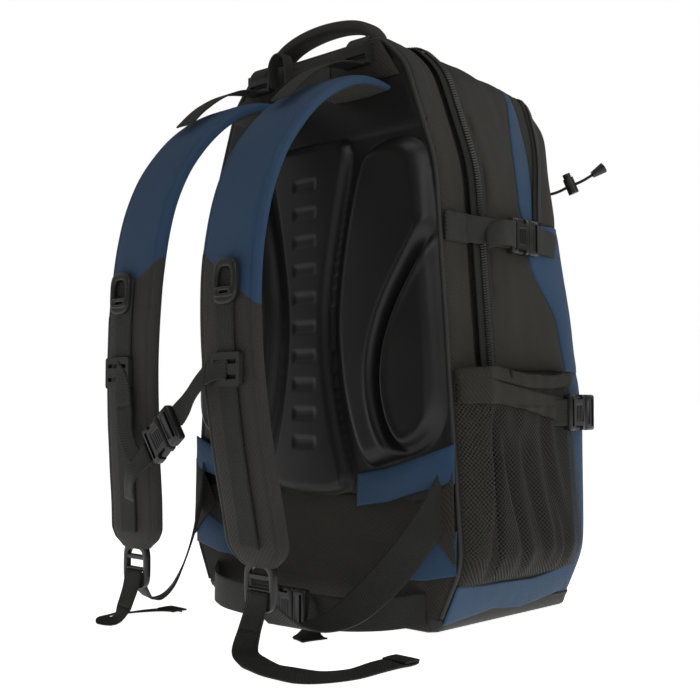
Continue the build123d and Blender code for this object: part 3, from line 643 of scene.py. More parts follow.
back_y = -100.3
back_patch("lower_back_cloth", [[(-156, 15), (156, 15)], [(-177, 118), (177, 118)],
                                [(-156, 15), (-177, 60), (-177, 118)],
                                [(156, 15), (177, 60), (177, 118)]], twill, 0.8, crown_height=3.5)
back_patch("navy_lumbar", [[(62, 106), (100, 112), (140, 124), (176, 132)],
                           [(62, 136), (100, 143), (140, 155), (176, 166)],
                           [(62, 106), (62, 136)], [(176, 132), (176, 166)]], navy, 5.0,
           ("lumbar_pads",),
           crown_height=5.0, thickness=0.002)
back_patch("navy_lower_patch", [[(100, 44), (140, 46), (176, 54)], [(108, 66), (140, 78), (177, 92)],
                                [(100, 44), (108, 66)],
                                [(176, 54), (177, 92)]], navy, 3.2, crown_height=2.0)
back_patch("webbing_wing", [[(142, 96), (160, 80), (177, 62)], [(143, 100), (158, 122), (175, 142)],
                            [(142, 96), (143, 100)],
                            [(177, 62), (175, 142)]], twill, 6.0, crown_height=1.0, thickness=0.002)
back_patch("top_yoke_cloth", [[(-113, 500), (113, 500)], [(-88, 538), (88, 538)], [(-113, 500), (-88, 538)],
                              [(113, 500), (88, 538)]], twill, 2.0, ("top_yoke",), crown_height=6.0)
back_patch("top_label_patch", [[(-26, 505), (30, 505)], [(-22, 528), (30, 528)], [(-26, 505), (-22, 528)],
                               [(30, 505), (30, 528)]], coated, 8.6, crown_height=0.6)

# ---- Piping and webbing tape along the back seam. The piping is a cord in a folded strip;
# the ribbed tape reinforces the seam from the carry handle down past the shoulder.


def smooth_path(points, count):
    """Even points along a smooth line through the given ones."""
    points = np.array(points, float)
    padded = np.vstack([2 * points[0] - points[1], points, 2 * points[-1] - points[-2]])
    fine = []
    for i in range(1, len(padded) - 2):
        p0, p1, p2, p3 = padded[i - 1:i + 3]
        for t in np.linspace(0, 1, 24, endpoint=False):
            fine.append(0.5 * (2 * p1 + (p2 - p0) * t + (2 * p0 - 5 * p1 + 4 * p2 - p3) * t ** 2
                               + (3 * p1 - p0 - 3 * p2 + p3) * t ** 3))
    fine = np.array(fine + [points[-1]])
    run = np.concatenate([[0], np.cumsum(np.linalg.norm(np.diff(fine, axis=0), axis=1))])
    at = np.linspace(0, run[-1], count)
    return np.stack([np.interp(at, run, fine[:, k]) for k in range(points.shape[1])], axis=1)


def round_cord(name, points, radius, finish, body):
    """A sewn-in round cord along a path in metres, as a mesh."""
    path = bpy.data.curves.new(name, "CURVE")
    path.dimensions = "3D"
    run = path.splines.new("POLY")
    run.points.add(len(points) - 1)
    for point, spot in zip(run.points, points):
        point.co = (*spot, 1)
    path.bevel_depth = radius
    path.bevel_resolution = 3
    path.use_fill_caps = True
    shaped = placed(name, path)
    pick(shaped)
    bpy.ops.object.convert(target="MESH")
    bpy.ops.object.shade_smooth()
    return sew(bpy.context.object, finish, body, thickness=0)


piping_finish = moulded_finish("piping cover", (0.016, 0.016, 0.015), 0.6, "noise", 0.0006, 0.0002)
seam_path = [side_wall(h * mm, -99.2 * mm)[0] for h in list(range(16, 431, 12)) + list(range(440, 631, 8))]
seam_path = [spot + Vector((0.6 if spot.x > 0.09 else 0, -0.8, 0)) * mm for spot in seam_path]
seam_path += [Vector((-spot.x, spot.y, spot.z)) for spot in reversed(seam_path[:-1])]
round_cord("back_seam_piping", smooth_path(seam_path, 220), 0.0021, piping_finish, "pack")

ribbed = cloth_finish("ribbed webbing", (0.020, 0.020, 0.019), 0.0011, 2.0, 0.58, 0.0005, sheen=0.03, wide=1.6)


def seam_tape_spot(u, v):
    height = (452 + v * 178) * mm
    width = 20 * min(1.0, 0.15 + v * 6) * mm
    spot, out = side_wall(height, -98.6 * mm + u * width)
    return spot + out * (2.2 * mm)


tape = lay_cloth("seam_tape", 10, 60, seam_tape_spot, (1, 0, 0.4))
sew(tape, ribbed, "pack", thickness=0.0012, mirrored=True, joined=True)

# ---- Main zip: two woven tapes and a chunky nylon coil, the rear half on the bag and the
# front half on the opening front. Each tooth is moulded once and repeated along the seam.
tape_cloth = cloth_finish("zip tape", (0.014, 0.014, 0.014), 0.0007, 2.0, 0.7, 0.00025)
nylon = moulded_finish("nylon coil", (0.020, 0.020, 0.019), 0.32, "noise", 0.002, 0.00005)


def repeat_piece(name, shape, frames):
    """Copy one small shape to many places as a single mesh."""
    points = np.array([v.co for v in shape.data.vertices])
    faces = [tuple(face.vertices) for face in shape.data.polygons]
    all_points, all_faces = [], []
    for n, place in enumerate(frames):
        turned = points @ np.array(place.to_3x3()).T + np.array(place.translation)
        all_points.append(turned)
        all_faces += [tuple(i + n * len(points) for i in face) for face in faces]
    mesh = bpy.data.meshes.new(name)
    mesh.from_pydata(np.concatenate(all_points).tolist(), [], all_faces)
    made = placed(name, mesh)
    bpy.data.objects.remove(shape, do_unlink=True)
    pick(made)
    bpy.ops.object.shade_smooth_by_angle(angle=0.6)
    return made


def small_block(size, bevel):
    """A small block with rounded edges, to be repeated."""
    bpy.ops.object.select_all(action="DESELECT")
    bpy.ops.mesh.primitive_cube_add(size=1.0)
    shape = bpy.context.object
    shape.scale = size
    bpy.ops.object.transform_apply(location=False, rotation=False, scale=True)
    apply_modifier(shape, "BEVEL", width=bevel, segments=1)
    return shape


def tooth_frames(row, lift):
    """Where each tooth sits along a zip, on both sides of the bag, lifted off the cloth by some millimetres."""
    frames = []
    for k, (spot, out) in enumerate(row):
        up = (row[min(k + 1, len(row) - 1)][0] - row[max(k - 1, 0)][0]).normalized()
        square = Matrix((out.cross(up), up, out)).transposed()
        for side in (1, -1):
            flip = Matrix.Diagonal((side, 1, 1))
            centre = flip @ (spot + out * (lift * mm))
            frames.append(Matrix.Translation(centre) @ (flip @ square @ flip).to_4x4())
    return frames


def zip_half(label, back, front, tooth_y, body, offset, replaced):
    """One half of the main zip: its tape, and its teeth in a row."""
    def tape_spot(u, v):
        height = (231.4 + v * 398.6) * mm
        spot, out = side_wall(height, (back + u * (front - back)) * mm)
        return spot + out * (3.0 * mm - 0.5 * mm * abs(2 * u - 1) ** 4)
    strip = lay_cloth("main_zip_tape_" + label, 6, 130, tape_spot, (1, 0, 0.4))
    sew(strip, tape_cloth, body, replaced, thickness=0.0009, mirrored=True, joined=True)
    row = [side_wall(h * mm, tooth_y * mm) for h in np.arange(232.5 + offset, 629, 2.4)]
    tooth = small_block((4.6 * mm, 1.5 * mm, 2.2 * mm), 0.0005)
    teeth = repeat_piece("main_zip_teeth_" + label, tooth, tooth_frames(row, 4.2))
    sew(teeth, nylon, body, thickness=0)


zip_half("rear", -57.4, -46.2, -47.2, "pack", 0.0, ("body_zip_track",))
zip_half("front", -44.4, -33.2, -43.4, "lid", 1.2, ("lid_zip_track",))

# ---- Shoulder straps: foam between a woven cover and a soft lining, turned and stitched
# round the edge. The cover is navy down to the chest, then black twill with a slanted join.


def two_tone_finish():
    """The strap cover: navy above the slanted join and black below it and on the lining."""
    made, tree, shader, layout = new_material("strap cover", sheen=0.04)
    place = wire(tree, "ShaderNodeSeparateXYZ", {0: layout["Object"]}).outputs
    thread = wire(tree, "ShaderNodeSeparateXYZ", {0: layout["UV"]}).outputs
    out = calc(tree, "ABSOLUTE", place[0])
    join = calc(tree, "SUBTRACT", 0.350, calc(tree, "MULTIPLY", out, 0.67))
    above = calc(tree, "GREATER_THAN", place[2], join)
    face = calc(tree, "LESS_THAN", calc(tree, "ABSOLUTE", thread[0]), 0.0435)
    is_navy = calc(tree, "MULTIPLY", above, face)
    fine, coarse = (wire(tree, "ShaderNodeGroup", {"Vector": layout["UV"], "Across": pitch, "Along": pitch,
                                                   "Step": step}, node_tree=weave).outputs["Height"]
                    for pitch, step in ((0.0006, 2.0), (0.0011, 4.0)))
    # Each colour is mixed towards a darker copy in the gaps between threads: painted shade.
    blue = blended(tree, fine, (0.012, 0.030, 0.062, 1), (0.026, 0.064, 0.130, 1))
    black = blended(tree, coarse, (0.006, 0.006, 0.006, 1), (0.040, 0.039, 0.034, 1))
    worn(tree, shader, layout, blended(tree, is_navy, black, blue), 0.55)
    height = wire(tree, "ShaderNodeMix", {0: is_navy, 2: coarse, 3: calc(tree, "MULTIPLY", fine, 0.45)},
                  data_type="FLOAT").outputs[0]
    creased(tree, shader, layout, height, 0.0004, 40.0, 0.0014)
    return made


strap_run = smooth_path([(-101.5, 489), (-118, 491), (-142, 488), (-168, 477), (-192, 460), (-214, 437), (-234, 408),
                         (-249, 372), (-258, 330), (-262, 285), (-262, 240), (-259, 195), (-254, 150), (-248, 105),
                         (-244, 66)], 400)


def strap_at(t, off=0.0, shift=0.0):
    """A point of the right strap's middle line, moved square to its face and sideways, in metres."""
    k = min(398, max(1, int(round(t * 399))))
    y, z = strap_run[k]
    ty, tz = strap_run[k + 1] - strap_run[k - 1]
    run = math.hypot(ty, tz)
    x = 66 + 20 * max(0.0, (330 - z) / 264) ** 1.5 + shift
    return Vector((x, y + tz / run * off, z - ty / run * off)) * mm


def strap_cover(u, v):
    turn = (u - 0.5) * math.tau
    tip = 1 - max(0.0, (v - 0.955) / 0.045) ** 2.2 * 0.62
    half = 36.5 * tip
    thick = 6.3 * min(1.0, 0.45 + v * 9) * (1 - 0.72 * max(0.0, (v - 0.95) / 0.05) ** 2)
    c, s = math.cos(turn), math.sin(turn)
    side = math.copysign(abs(s) ** 0.55, s) * half
    face = math.copysign(abs(c) ** 0.62, c) * thick
    edge = half - abs(side)
    face *= 1 - 0.22 * math.exp(-((edge - 6.5) / 1.5) ** 2)
    face += math.copysign(0.5, c) * (1 - (side / half) ** 2)
    y, z = strap_run[min(398, int(v * 398))]
    join = 350 - 0.67 * (66 + side)
    if z < join and c > -0.2:
        face += 0.5 * min(1.0, (join - z) / 2.0)
    face += 0.35 * noise.noise(Vector((side * 0.05, z * 0.03, 4.0)))
    return strap_at(v, face, side)


def close_shell(piece):
    """Join a tube of cloth along its seam, close its ends and point its faces outwards."""
    work = bmesh.new()
    work.from_mesh(piece.data)
    bmesh.ops.remove_doubles(work, verts=work.verts, dist=0.00005)
    bmesh.ops.holes_fill(work, edges=work.edges, sides=0)
    bmesh.ops.recalc_face_normals(work, faces=work.faces)
    work.to_mesh(piece.data)
    work.free()


strap_finish = two_tone_finish()
straps = {}
for side in ("right", "left"):
    strap = lay_cloth("strap_cover_" + side, 88, 170, strap_cover, (0, -1, 0))
    if side == "left":
        for vertex in strap.data.vertices:
            vertex.co.x = -vertex.co.x
        strap.data.flip_normals()
    close_shell(strap)
    sew(strap, strap_finish, "strap_" + side, ("shoulder_strap_" + side,), thickness=0)
    straps[side] = strap

# Webbing sewn down the face of each strap, over the chest slider and into the ladder lock,
# with a moulded gear hook held at its top end.


def lay_webbing(name, points, across, width, thickness=1.5):
    """A length of flat webbing along a path in millimetres; across gives its width direction."""
    length = np.linalg.norm(np.diff(np.array(points, float), axis=0), axis=1).sum()
    rows = max(8, int(length / 3.5))
    run = smooth_path(points, rows + 1)
    widths = smooth_path(across, rows + 1) if np.ndim(across) == 2 else np.tile(np.array(across, float), (rows + 1, 1))

    def place(u, v):
        k = round(v * rows)
        way = Vector(widths[k]).normalized()
        ahead = Vector(run[min(k + 1, rows)] - run[max(k - 1, 0)]).normalized()
        out = ahead.cross(way)
        spot = Vector(run[k]) + way * ((u - 0.5) * width)
        spot += out * (0.25 * noise.noise(Vector((length, v * length * 0.05, u * 2))))
        return spot * mm

    piece = lay_cloth(name, 10, rows, place, (0, 0, 1))
    apply_modifier(piece, "SOLIDIFY", thickness=thickness * mm, offset=0.0)
    return piece


def stitch(piece, body, replaced=(), mirrored=False):
    """Give a length of webbing its finish and its body."""
    return sew(piece, ribbed, body, replaced, thickness=0, mirrored=mirrored)


def mirrored_copy(piece, name):
    """The same piece for the other side of the bag, as its own mesh."""
    made = duplicate(piece, name)
    for vertex in made.data.vertices:
        vertex.co.x = -vertex.co.x
    made.data.flip_normals()
    return made


moulded = moulded_finish("black acetal", (0.012, 0.012, 0.012), 0.30, "noise", 0.0009, 0.00006, dust=0.08)
face_run = [strap_at(t, 9.3, 7.0 * (1 - t)) / mm for t in np.linspace(0.52, 0.965, 26)]
face_webbing = lay_webbing("strap_webbing_right", face_run, (1, 0, 0), 23)
face_left = mirrored_copy(face_webbing, "strap_webbing_left")
stitch(face_webbing, "strap_right", ("strap_trim_right",))
stitch(face_left, "strap_left", ("strap_trim_left",))


def ring_piece(name, outer, inner, depth, place, finish, body, replaced=()):
    """A flat moulded ring cut from a rounded plate: outlines in millimetres across and up."""
    bpy.ops.object.select_all(action="DESELECT")
    mesh = bpy.data.meshes.new(name)
    made = placed(name, mesh)
    work = bmesh.new()
    count = len(outer)
    rings = []
    for level in (-depth / 2, depth / 2):
        for outline in (outer, inner):
            rings.append([work.verts.new(place @ (Vector((x, level, z)) * mm)) for x, z in outline])
    for k in range(count):
        j = (k + 1) % count
        work.faces.new((rings[0][k], rings[0][j], rings[1][j], rings[1][k]))
        work.faces.new((rings[2][j], rings[2][k], rings[3][k], rings[3][j]))
        work.faces.new((rings[0][j], rings[0][k], rings[2][k], rings[2][j]))
        work.faces.new((rings[1][k], rings[1][j], rings[3][j], rings[3][k]))
    bmesh.ops.recalc_face_normals(work, faces=work.faces)
    work.to_mesh(mesh)
    work.free()
    apply_modifier(made, "BEVEL", width=0.8 * mm, segments=2, limit_method="ANGLE", angle_limit=0.7)
    bpy.ops.object.shade_smooth_by_angle(angle=0.7)
    return sew(made, finish, body, replaced, thickness=0)


def oval(width, height, corner):
    """A rounded outline, from a circle at 1 to a soft rectangle near 0."""
    turns = [math.tau * k / 32 for k in range(32)]
    return [(math.copysign(abs(math.cos(t)) ** corner, math.cos(t)) * width / 2,
             math.copysign(abs(math.sin(t)) ** corner, math.sin(t)) * height / 2) for t in turns]


for side, flip in (("right", 1), ("left", -1)):
    hook = Matrix.Translation(Vector((flip * 74, -272.6, 300)) * mm) @ Matrix.Rotation(math.radians(-2), 4, "X")
    ring_piece("gear_hook_" + side, oval(29, 38, 0.6), oval(17, 24, 0.6), 4.5, hook, moulded, "strap_" + side)
    ring_piece("gear_hook_bar_" + side, oval(25, 9, 0.4), oval(12, 2.5, 0.4), 5.2,
               hook @ Matrix.Translation((0, 0, -9 * mm)), moulded, "strap_" + side)

# Sternum strap: narrow webbing through a slider on each strap, joined by a buckle that
# hangs between them, with the spare end folded back on itself.
chest_y = -276.4
right_run = [(79, chest_y + 1.6, 229), (66, chest_y + 1.6, 229), (54, chest_y, 225), (40, chest_y - 0.5, 213),
             (28, chest_y, 200),
             (16, chest_y, 190)]
right_across = [(0, 0.15, 1), (0, 0.15, 1), (-0.2, 0.3, 0.9), (-0.6, 0.3, 0.7), (-0.6, 0, 0.8), (-0.59, 0, 0.81)]
for side, flip, run, across in (("right", 1, right_run[:3], right_across[:3]), ("left", -1, [(-64, chest_y + 1.5, 198),
                                (-66, chest_y + 1.6, 216), (-76, chest_y + 1.6, 229)], [(1, 0, 0.1), (0.9, 0, 0.4),
                                                                                        (0.2, 0, 1)])):
    held = lay_webbing("sternum_webbing_top_" + side, run, across, 20)
    stitch(held, None)
    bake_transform(held)
chest_right = lay_webbing("sternum_webbing_right", right_run[2:], right_across[2:], 20)
stitch(chest_right, None, ("sternum_webbings",))
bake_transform(chest_right)
left_run = [(-21, chest_y, 160), (-30, chest_y, 154), (-40, chest_y + 2, 150), (-52, chest_y + 2, 158),
            (-60, chest_y + 1, 174),
            (-64, chest_y + 1.5, 198)]
left_across = [(-0.59, 0, 0.81), (-0.5, 0, 0.85), (-0.1, 0.1, 1), (0.6, 0.1, 0.8), (0.9, 0.1, 0.3), (1, 0, 0.1)]
chest_left = lay_webbing("sternum_webbing_left", left_run, left_across, 20)
stitch(chest_left, "strap_right")
spare_run = [(-22, chest_y - 2, 159), (-32, chest_y - 5, 148), (-40, chest_y - 7, 139), (-45, chest_y - 6, 128),
             (-47, chest_y - 3, 116)]
spare = lay_webbing("sternum_spare_end", spare_run, [(-0.59, 0, 0.81), (-0.7, 0.2, 0.6), (-0.85, 0.2, 0.4),
                                                     (-0.95, 0.2, 0.2),
                                                     (-1, 0.2, 0.1)], 19)
stitch(spare, "strap_right")

# Lower webbing: wide webbing from the wings down near the floor and up to the ladder locks,
# and the free ends, which fall to the floor and lie on it with a folded, stitched end.
lower_runs = [(166, -102.5, 128), (158, -112, 104), (146, -130, 74), (132, -152, 46), (117, -180, 22), (104, -206, 15),
              (95, -226, 20), (89, -240, 34), (86.5, -246, 46)]
lower_across = [(0.33, 0.31, -0.86), (0.36, 0.33, -0.84), (0.42, 0.34, -0.80), (0.52, 0.36, -0.72), (0.66, 0.38, -0.52),
                (0.80, 0.38, -0.22), (0.92, 0.3, 0), (0.98, 0.1, 0), (1, 0, 0)]
lower = lay_webbing("lower_webbing_right", lower_runs[:7], lower_across[:7], 30, thickness=1.6)
lower_left = mirrored_copy(lower, "lower_webbing_left")
lower_top = lay_webbing("lower_webbing_top_right", lower_runs[6:], lower_across[6:], 30, thickness=1.6)
lower_top_left = mirrored_copy(lower_top, "lower_webbing_top_left")
tail_runs = {"right": [(86, -247.4, 48), (86, -250, 34), (86, -256, 18), (88, -262, 6), (96, -268, 2.2),
                       (112, -276, 1.8),
                       (136, -286, 2.4), (164, -290, 3.4), (187, -282, 2.4), (198, -258, 1.8), (199, -226, 2.6),
                       (197, -190, 1.8)],
             "left": [(-86, -247.4, 48), (-86, -251, 32), (-87, -257, 15), (-90, -262, 5), (-98, -266, 2.0),
                      (-110, -264, 2.2),
                      (-120, -250, 3.0), (-119, -232, 2.0), (-110, -208, 2.4), (-99, -186, 1.8)]}
tail_across = {"right": [(1, 0, 0), (1, 0, 0), (1, 0.1, 0), (0.9, 0.4, 0.1), (0.6, 0.8, 0.1), (0.4, 0.9, 0.05),
                         (0.2, 1, 0.1),
                         (-0.2, 1, 0.15), (-0.7, 0.7, 0.1), (-1, 0.2, 0.05), (-1, 0, 0.1), (-1, 0, 0)],
               "left": [(-1, 0, 0), (-1, 0, 0), (-1, 0.1, 0), (-0.9, 0.4, 0.1), (-0.5, 0.8, 0.1), (0.2, 1, 0.1),
                        (0.9, 0.5, 0.1),
                        (1, -0.2, 0.05), (1, -0.4, 0.1), (1, -0.4, 0)]}
for side, flip, piece, top in (("right", 1, lower, lower_top), ("left", -1, lower_left, lower_top_left)):
    tail = lay_webbing("lower_tail_" + side, tail_runs[side][2:], tail_across[side][2:], 24)
    grip = lay_webbing("lower_tail_grip_" + side, tail_runs[side][:3], tail_across[side][:3], 24)
    stitch(grip, None)
    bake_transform(grip)
    stitch(top, None)
    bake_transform(top)
    x_end, y_end, z_end = tail_runs[side][-1]
    folded = lay_webbing("lower_tail_fold_" + side, [(x_end, y_end - 16, z_end + 1.7), (x_end, y_end - 8, z_end + 1.9),
                                                     (x_end, y_end + 0.5, z_end + 1.6)], (1, 0, 0), 24)
    for part in (tail, folded):
        for vertex in part.data.vertices:
            vertex.co.z = max(vertex.co.z, 0.0003)
    stitch(folded, "strap_" + side)
    stitch(tail, "strap_" + side)
    stitch(piece, None, ("lower_webbings",) if side == "right" else ())
    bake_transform(piece)

# Load lifters: webbing from the locks on the yoke down to the top of each strap.
lifter_run = [(68, -110.5, 520), (68, -115, 514), (68, -128, 512.5), (68, -148, 508), (68, -170, 497), (68, -190, 482),
              (68, -207, 465)]
lifter = lay_webbing("lifter_webbing_right", lifter_run, (1, 0, 0), 25)
lifter_left = mirrored_copy(lifter, "lifter_webbing_left")
for side, piece in (("right", lifter), ("left", lifter_left)):
    stitch(piece, None, ("lifter_webbings",) if side == "right" else ())
    flip = 1 if side == "right" else -1
    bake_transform(piece)

# ---- Mesh side pockets: knitted diamond net gathered into a twill foot and an elastic rim,
# with a tapering twill band sewn across each for the lower buckle.


def net_finish():
    """Open knitted net: diamond holes between dark threads, cut out with alpha. The thread colour darkens towards each
    hole as painted shade.
    """
    made, tree, shader, layout = new_material("knitted net", sheen=0.05)
    place = wire(tree, "ShaderNodeSeparateXYZ", {0: layout["UV"]}).outputs
    one = calc(tree, "MULTIPLY", calc(tree, "ADD", place[0], place[1]), math.pi / 0.0040)
    two = calc(tree, "MULTIPLY", calc(tree, "SUBTRACT", place[0], place[1]), math.pi / 0.0040)
    hole = calc(tree, "MULTIPLY", calc(tree, "ABSOLUTE", calc(tree, "SINE", one)),
                calc(tree, "ABSOLUTE", calc(tree, "SINE", two)))
    tree.links.new(calc(tree, "LESS_THAN", hole, 0.42), shader.inputs["Alpha"])
    # Near each hole the colour is mixed towards near-black: painted shade.
    thread_colour_with_painted_shade = blended(tree, hole, (0.032, 0.031, 0.026, 1), (0.005, 0.005, 0.004, 1))
    worn(tree, shader, layout, thread_colour_with_painted_shade, 0.6)
    bump = wire(tree, "ShaderNodeBump", {"Height": calc(tree, "SUBTRACT", 1.0, hole), "Distance": 0.0008,
                                         "Strength": 0.9})
    tree.links.new(bump.outputs[0], shader.inputs["Normal"])
    return made


def pocket_spot(y, z, extra=0.0):
    """A point of the right pocket's stretched outer surface, in metres."""
    rear, fore = (y + 97) / 26, (77 - y) / 20
    swell = 16.5 * min(1, max(0, rear)) ** 0.55 * min(1, max(0, fore)) ** 0.55 * min(1, max(0, (z - 44) / 26)) ** 0.6
    swing = 14 * noise.noise(Vector((y * 0.012, z * 0.009, 2)))
    gather = 1.7 * math.cos((y + swing) * 0.27) * (0.6 + 0.7 * noise.noise(Vector((y * 0.03, 1.0, 4))))
    gather += 3.4 * noise.noise(Vector((y * 0.045 + z * 0.012, z * 0.013, 7)))
    deep = sum(k * math.exp(-((y - at - (z - 120) * lean) / wide) ** 2) * min(1, max(0, (top - z) / 50))
               for k, at, lean, wide, top in ((8, -66, 0.06, 5.0, 206), (4.5, -40, -0.22, 5.0, 204),
                                              (4, -12, -0.32, 6.0, 198),
                                              (3.5, 22, -0.30, 6.0, 190)))
    slack = min(1, max(0, rear)) * min(1, max(0, fore)) * min(1, max(0, (z - 46) / 20)) * (0.3 if z > 196 else 1.0)
    spot, out = side_wall(z * mm, min(max(y, -98.5), 80) * mm)
    return spot + out * ((2.2 + swell + (gather - deep) * slack + extra) * mm)


net = net_finish()
rim_top = [(-98, 230), (-58, 232), (-17, 226), (27, 225), (61, 229), (78, 231)]
foot_line = [(-98, 45), (-60, 42), (-36, 42), (15, 40), (41, 43), (62, 46), (78, 48)]


def read_line(pairs, y):
    return float(np.interp(y, [p[0] for p in pairs], [p[1] for p in pairs]))


def net_spot(u, v):
    y = -97 + u * 174
    low, high = read_line(foot_line, y) - 1, read_line(rim_top, y) - 7
    return pocket_spot(y, low + v * (high - low))


pocket_net = lay_cloth("pocket_net", 92, 84, net_spot, (1, 0, 0))
sew(pocket_net, net, "pack", ("mesh_pockets",), thickness=0.0, mirrored=True)


def rim_spot(u, v):
    y = -97.5 + u * 175.5
    z = read_line(rim_top, y) - 12.5 * (1 - v)
    return pocket_spot(y, z, 1.7 + 1.4 * math.sin(v * math.pi))


rim = lay_cloth("pocket_rim", 70, 10, rim_spot, (1, 0, 0))
sew(rim, twill, "pack", ("pocket_bindings",), thickness=0.0024, mirrored=True)

band_edges = [(-98, 228, 200), (-50, 217, 198), (0, 209, 189), (44, 204, 179)]


def band_spot(u, v):
    y = -97.5 + u * 141
    high = float(np.interp(y, [b[0] for b in band_edges], [b[1] for b in band_edges]))
    low = float(np.interp(y, [b[0] for b in band_edges], [b[2] for b in band_edges]))
    return pocket_spot(y, low + v * (high - low), 2.6 + 1.5 * math.sin(v * math.pi))


band = lay_cloth("pocket_band", 48, 14, band_spot, (1, 0, 0))
sew(band, twill, "pack", thickness=0.0016, mirrored=True)

corner_low = [(-98, 10), (-69, 13), (-30, 17), (15, 12), (63, 19), (78, 22)]


def navy_corner_spot(u, v):
    y = -98 + u * 176
    low, high = read_line(corner_low, y), read_line(foot_line, y)
    z = low + v * (high - low)
    spot, out = side_wall(z * mm, y * mm)
    pucker = 0.8 * noise.noise(Vector((y * 0.05, z * 0.03, 5)))
    return spot + out * ((3.0 + pucker + 0.8 * math.sin(v * math.pi)) * mm)


corner = lay_cloth("navy_base_corner", 56, 12, navy_corner_spot, (1, 0, 0))
sew(corner, navy, "pack", ("corner_panels",), mirrored=True)

# ---- Compression straps, two a side: a webbing tab sewn into the back seam, an adjustable
# buckle, and webbing sewn into the front corner. The upper ones cross the main zip.
ZUP = (0, 0, 1)
tab = lay_webbing("upper_strap_tab", [(160.6, -97, 357), (161.0, -80, 357), (161.4, -65.5, 357)], ZUP, 26,
                  thickness=2.4)
stitch(tab, "pack", ("sewn_webbings",), mirrored=True)
rear_run = [(161.6, -70, 357), (163.2, -60, 357), (164.2, -50, 357), (164.6, -38, 357), (164.4, -24, 357),
            (165.4, -12, 357),
            (165.6, -5, 357)]
upper_rear = lay_webbing("upper_strap_rear_right", rear_run, ZUP, 25)
for flip, piece in ((1, upper_rear), (-1, mirrored_copy(upper_rear, "upper_strap_rear_left"))):
    stitch(piece, None, ("upper_rear_webbings",) if flip == 1 else ())
    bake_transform(piece)
spare = lay_webbing("upper_strap_spare_end", [(169.5, -4, 357.5), (170.5, -14, 358), (171.5, -26, 357), (170, -38, 354),
                                              (168, -47, 350)],
                    [(0, 0, 1), (-0.05, 0, 1), (-0.2, 0.05, 1), (-0.3, 0.2, 0.95), (-0.35, 0.35, 0.9)], 25)
stitch(spare, "lid", mirrored=True)
front_run = [(165.6, 30, 357), (164.6, 40, 357), (162.2, 52, 356.5), (161.4, 62, 356), (160.4, 72, 355),
             (158.2, 80, 354)]
upper_front_strap = lay_webbing("upper_strap_front_right", front_run, ZUP, 25)
for side, flip, piece in (("right", 1, upper_front_strap), ("left", -1, mirrored_copy(upper_front_strap,
                                                                                      "upper_strap_front_left"))):
    stitch(piece, None, ("upper_front_webbings",) if flip == 1 else ())
    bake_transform(piece)
lower_front_run = [(193.6, 81, 192), (190, 90, 192), (184, 97, 192), (177, 102.5, 192), (172.8, 105.5, 192)]
lower_front_strap = lay_webbing("lower_strap_front_right", lower_front_run, ZUP, 25)
for side, flip, piece in (("right", 1, lower_front_strap), ("left", -1, mirrored_copy(lower_front_strap,
                                                                                      "lower_strap_front_left"))):
    stitch(piece, None, ("lower_front_webbings",) if flip == 1 else ())
    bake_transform(piece)
lower_tab = lay_webbing("lower_strap_tab", [(189.5, 20, 192.5), (191.8, 32, 192), (193.6, 40, 192), (193.8, 46, 192)],
                        ZUP, 25)
stitch(lower_tab, "pack", mirrored=True)

# ---- Carry handle: a padded twill arch over the top seam, its ends sewn into the top.


def handle_spot(u, v):
    turn, round_it = math.pi * v, (u - 0.5) * math.tau
    centre = Vector((68 * math.cos(turn), -83, 540.6 + 28.5 * math.sin(turn) ** 0.8))
    out = Vector((math.cos(turn) * 0.55, 0, math.sin(turn) + 0.12)).normalized()
    c, s = math.cos(round_it), math.sin(round_it)
    thick = 5.6 + 0.5 * math.sin(turn)
    face = math.copysign(abs(c) ** 0.7,
                         c) * thick * (1 - 0.18 * math.exp(-((11.6 - abs(s) ** 0.6 * 12.4 - 2.5) / 1.2) ** 2))
    spot = centre + Vector((0, 1, 0)) * (math.copysign(abs(s) ** 0.6, s) * 12.4) + out * face
    return Vector((spot.x, spot.y, max(spot.z, 540.6))) * mm


handle = lay_cloth("carry_handle_cover", 40, 76, handle_spot, (0, 0, 1))
close_shell(handle)
sew(handle, twill, "carry_handle", ("carry_handle",), thickness=0)

# Hang loop, and the tabs that hold the load-lifter locks: short lengths of the same webbing.
loop_run = [(-44, -112, 515), (-45.5, -114, 524), (-45, -115, 536), (-40, -115, 544.5), (-32, -115, 546.5),
            (-25, -115, 543), (-22.6, -114, 532), (-24, -112, 515)]
hang_loop = lay_webbing("hang_loop_webbing", loop_run, (0, 1, 0), 12)
stitch(hang_loop, "pack")
for name, x in (("lifter_tab_right", 68), ("lifter_tab_left", -68)):
    lock_tab = lay_webbing(name, [(x, -107.6, 541), (x, -111.6, 537), (x, -114.2, 531), (x, -110.5, 526),
                                  (x, -108.4, 520)],
                           (1, 0, 0), 24)
    stitch(lock_tab, "pack")

# ---- Hip belt: webbing from each lower back corner, drooping to a buckle near the floor.
hip_right = [(142, -101.6, 22), (130, -113, 20), (116, -134, 18.5), (94, -154, 18), (76, -165, 19.5), (58, -168, 20)]
hip_left = [(-142, -101.6, 22), (-131, -113, 20), (-104, -136, 18), (-68, -154, 18), (-24, -166, 19.5), (0, -167.6, 20),
            (23, -168, 20)]
for name, run in (("hip_webbing_right", hip_right), ("hip_webbing_left", hip_left)):
    belt = lay_webbing(name, run, ZUP, 29)
    if run is hip_right:
        stitch(belt, None, ("hip_webbings",))
        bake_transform(belt)
    else:
        stitch(belt, "pack")
hip_spare = lay_webbing("hip_spare_end", [(66, -169.5, 21), (70, -174, 14), (73, -180, 6), (80, -186, 1.8),
                                          (94, -190, 1.7)],
                        [(0.1, 0, 1), (0.5, 0.2, 0.8), (0.8, 0.4, 0.4), (0.6, 0.8, 0), (0.2, 1, 0)], 25)
for vertex in hip_spare.data.vertices:
    vertex.co.z = max(vertex.co.z, 0.0003)
stitch(hip_spare, "hip_prong")

# ---- Side-release buckles, six in all, each in two moulded halves: a socket with a window
# at each side, and a plug whose two sprung arms snap into the windows.


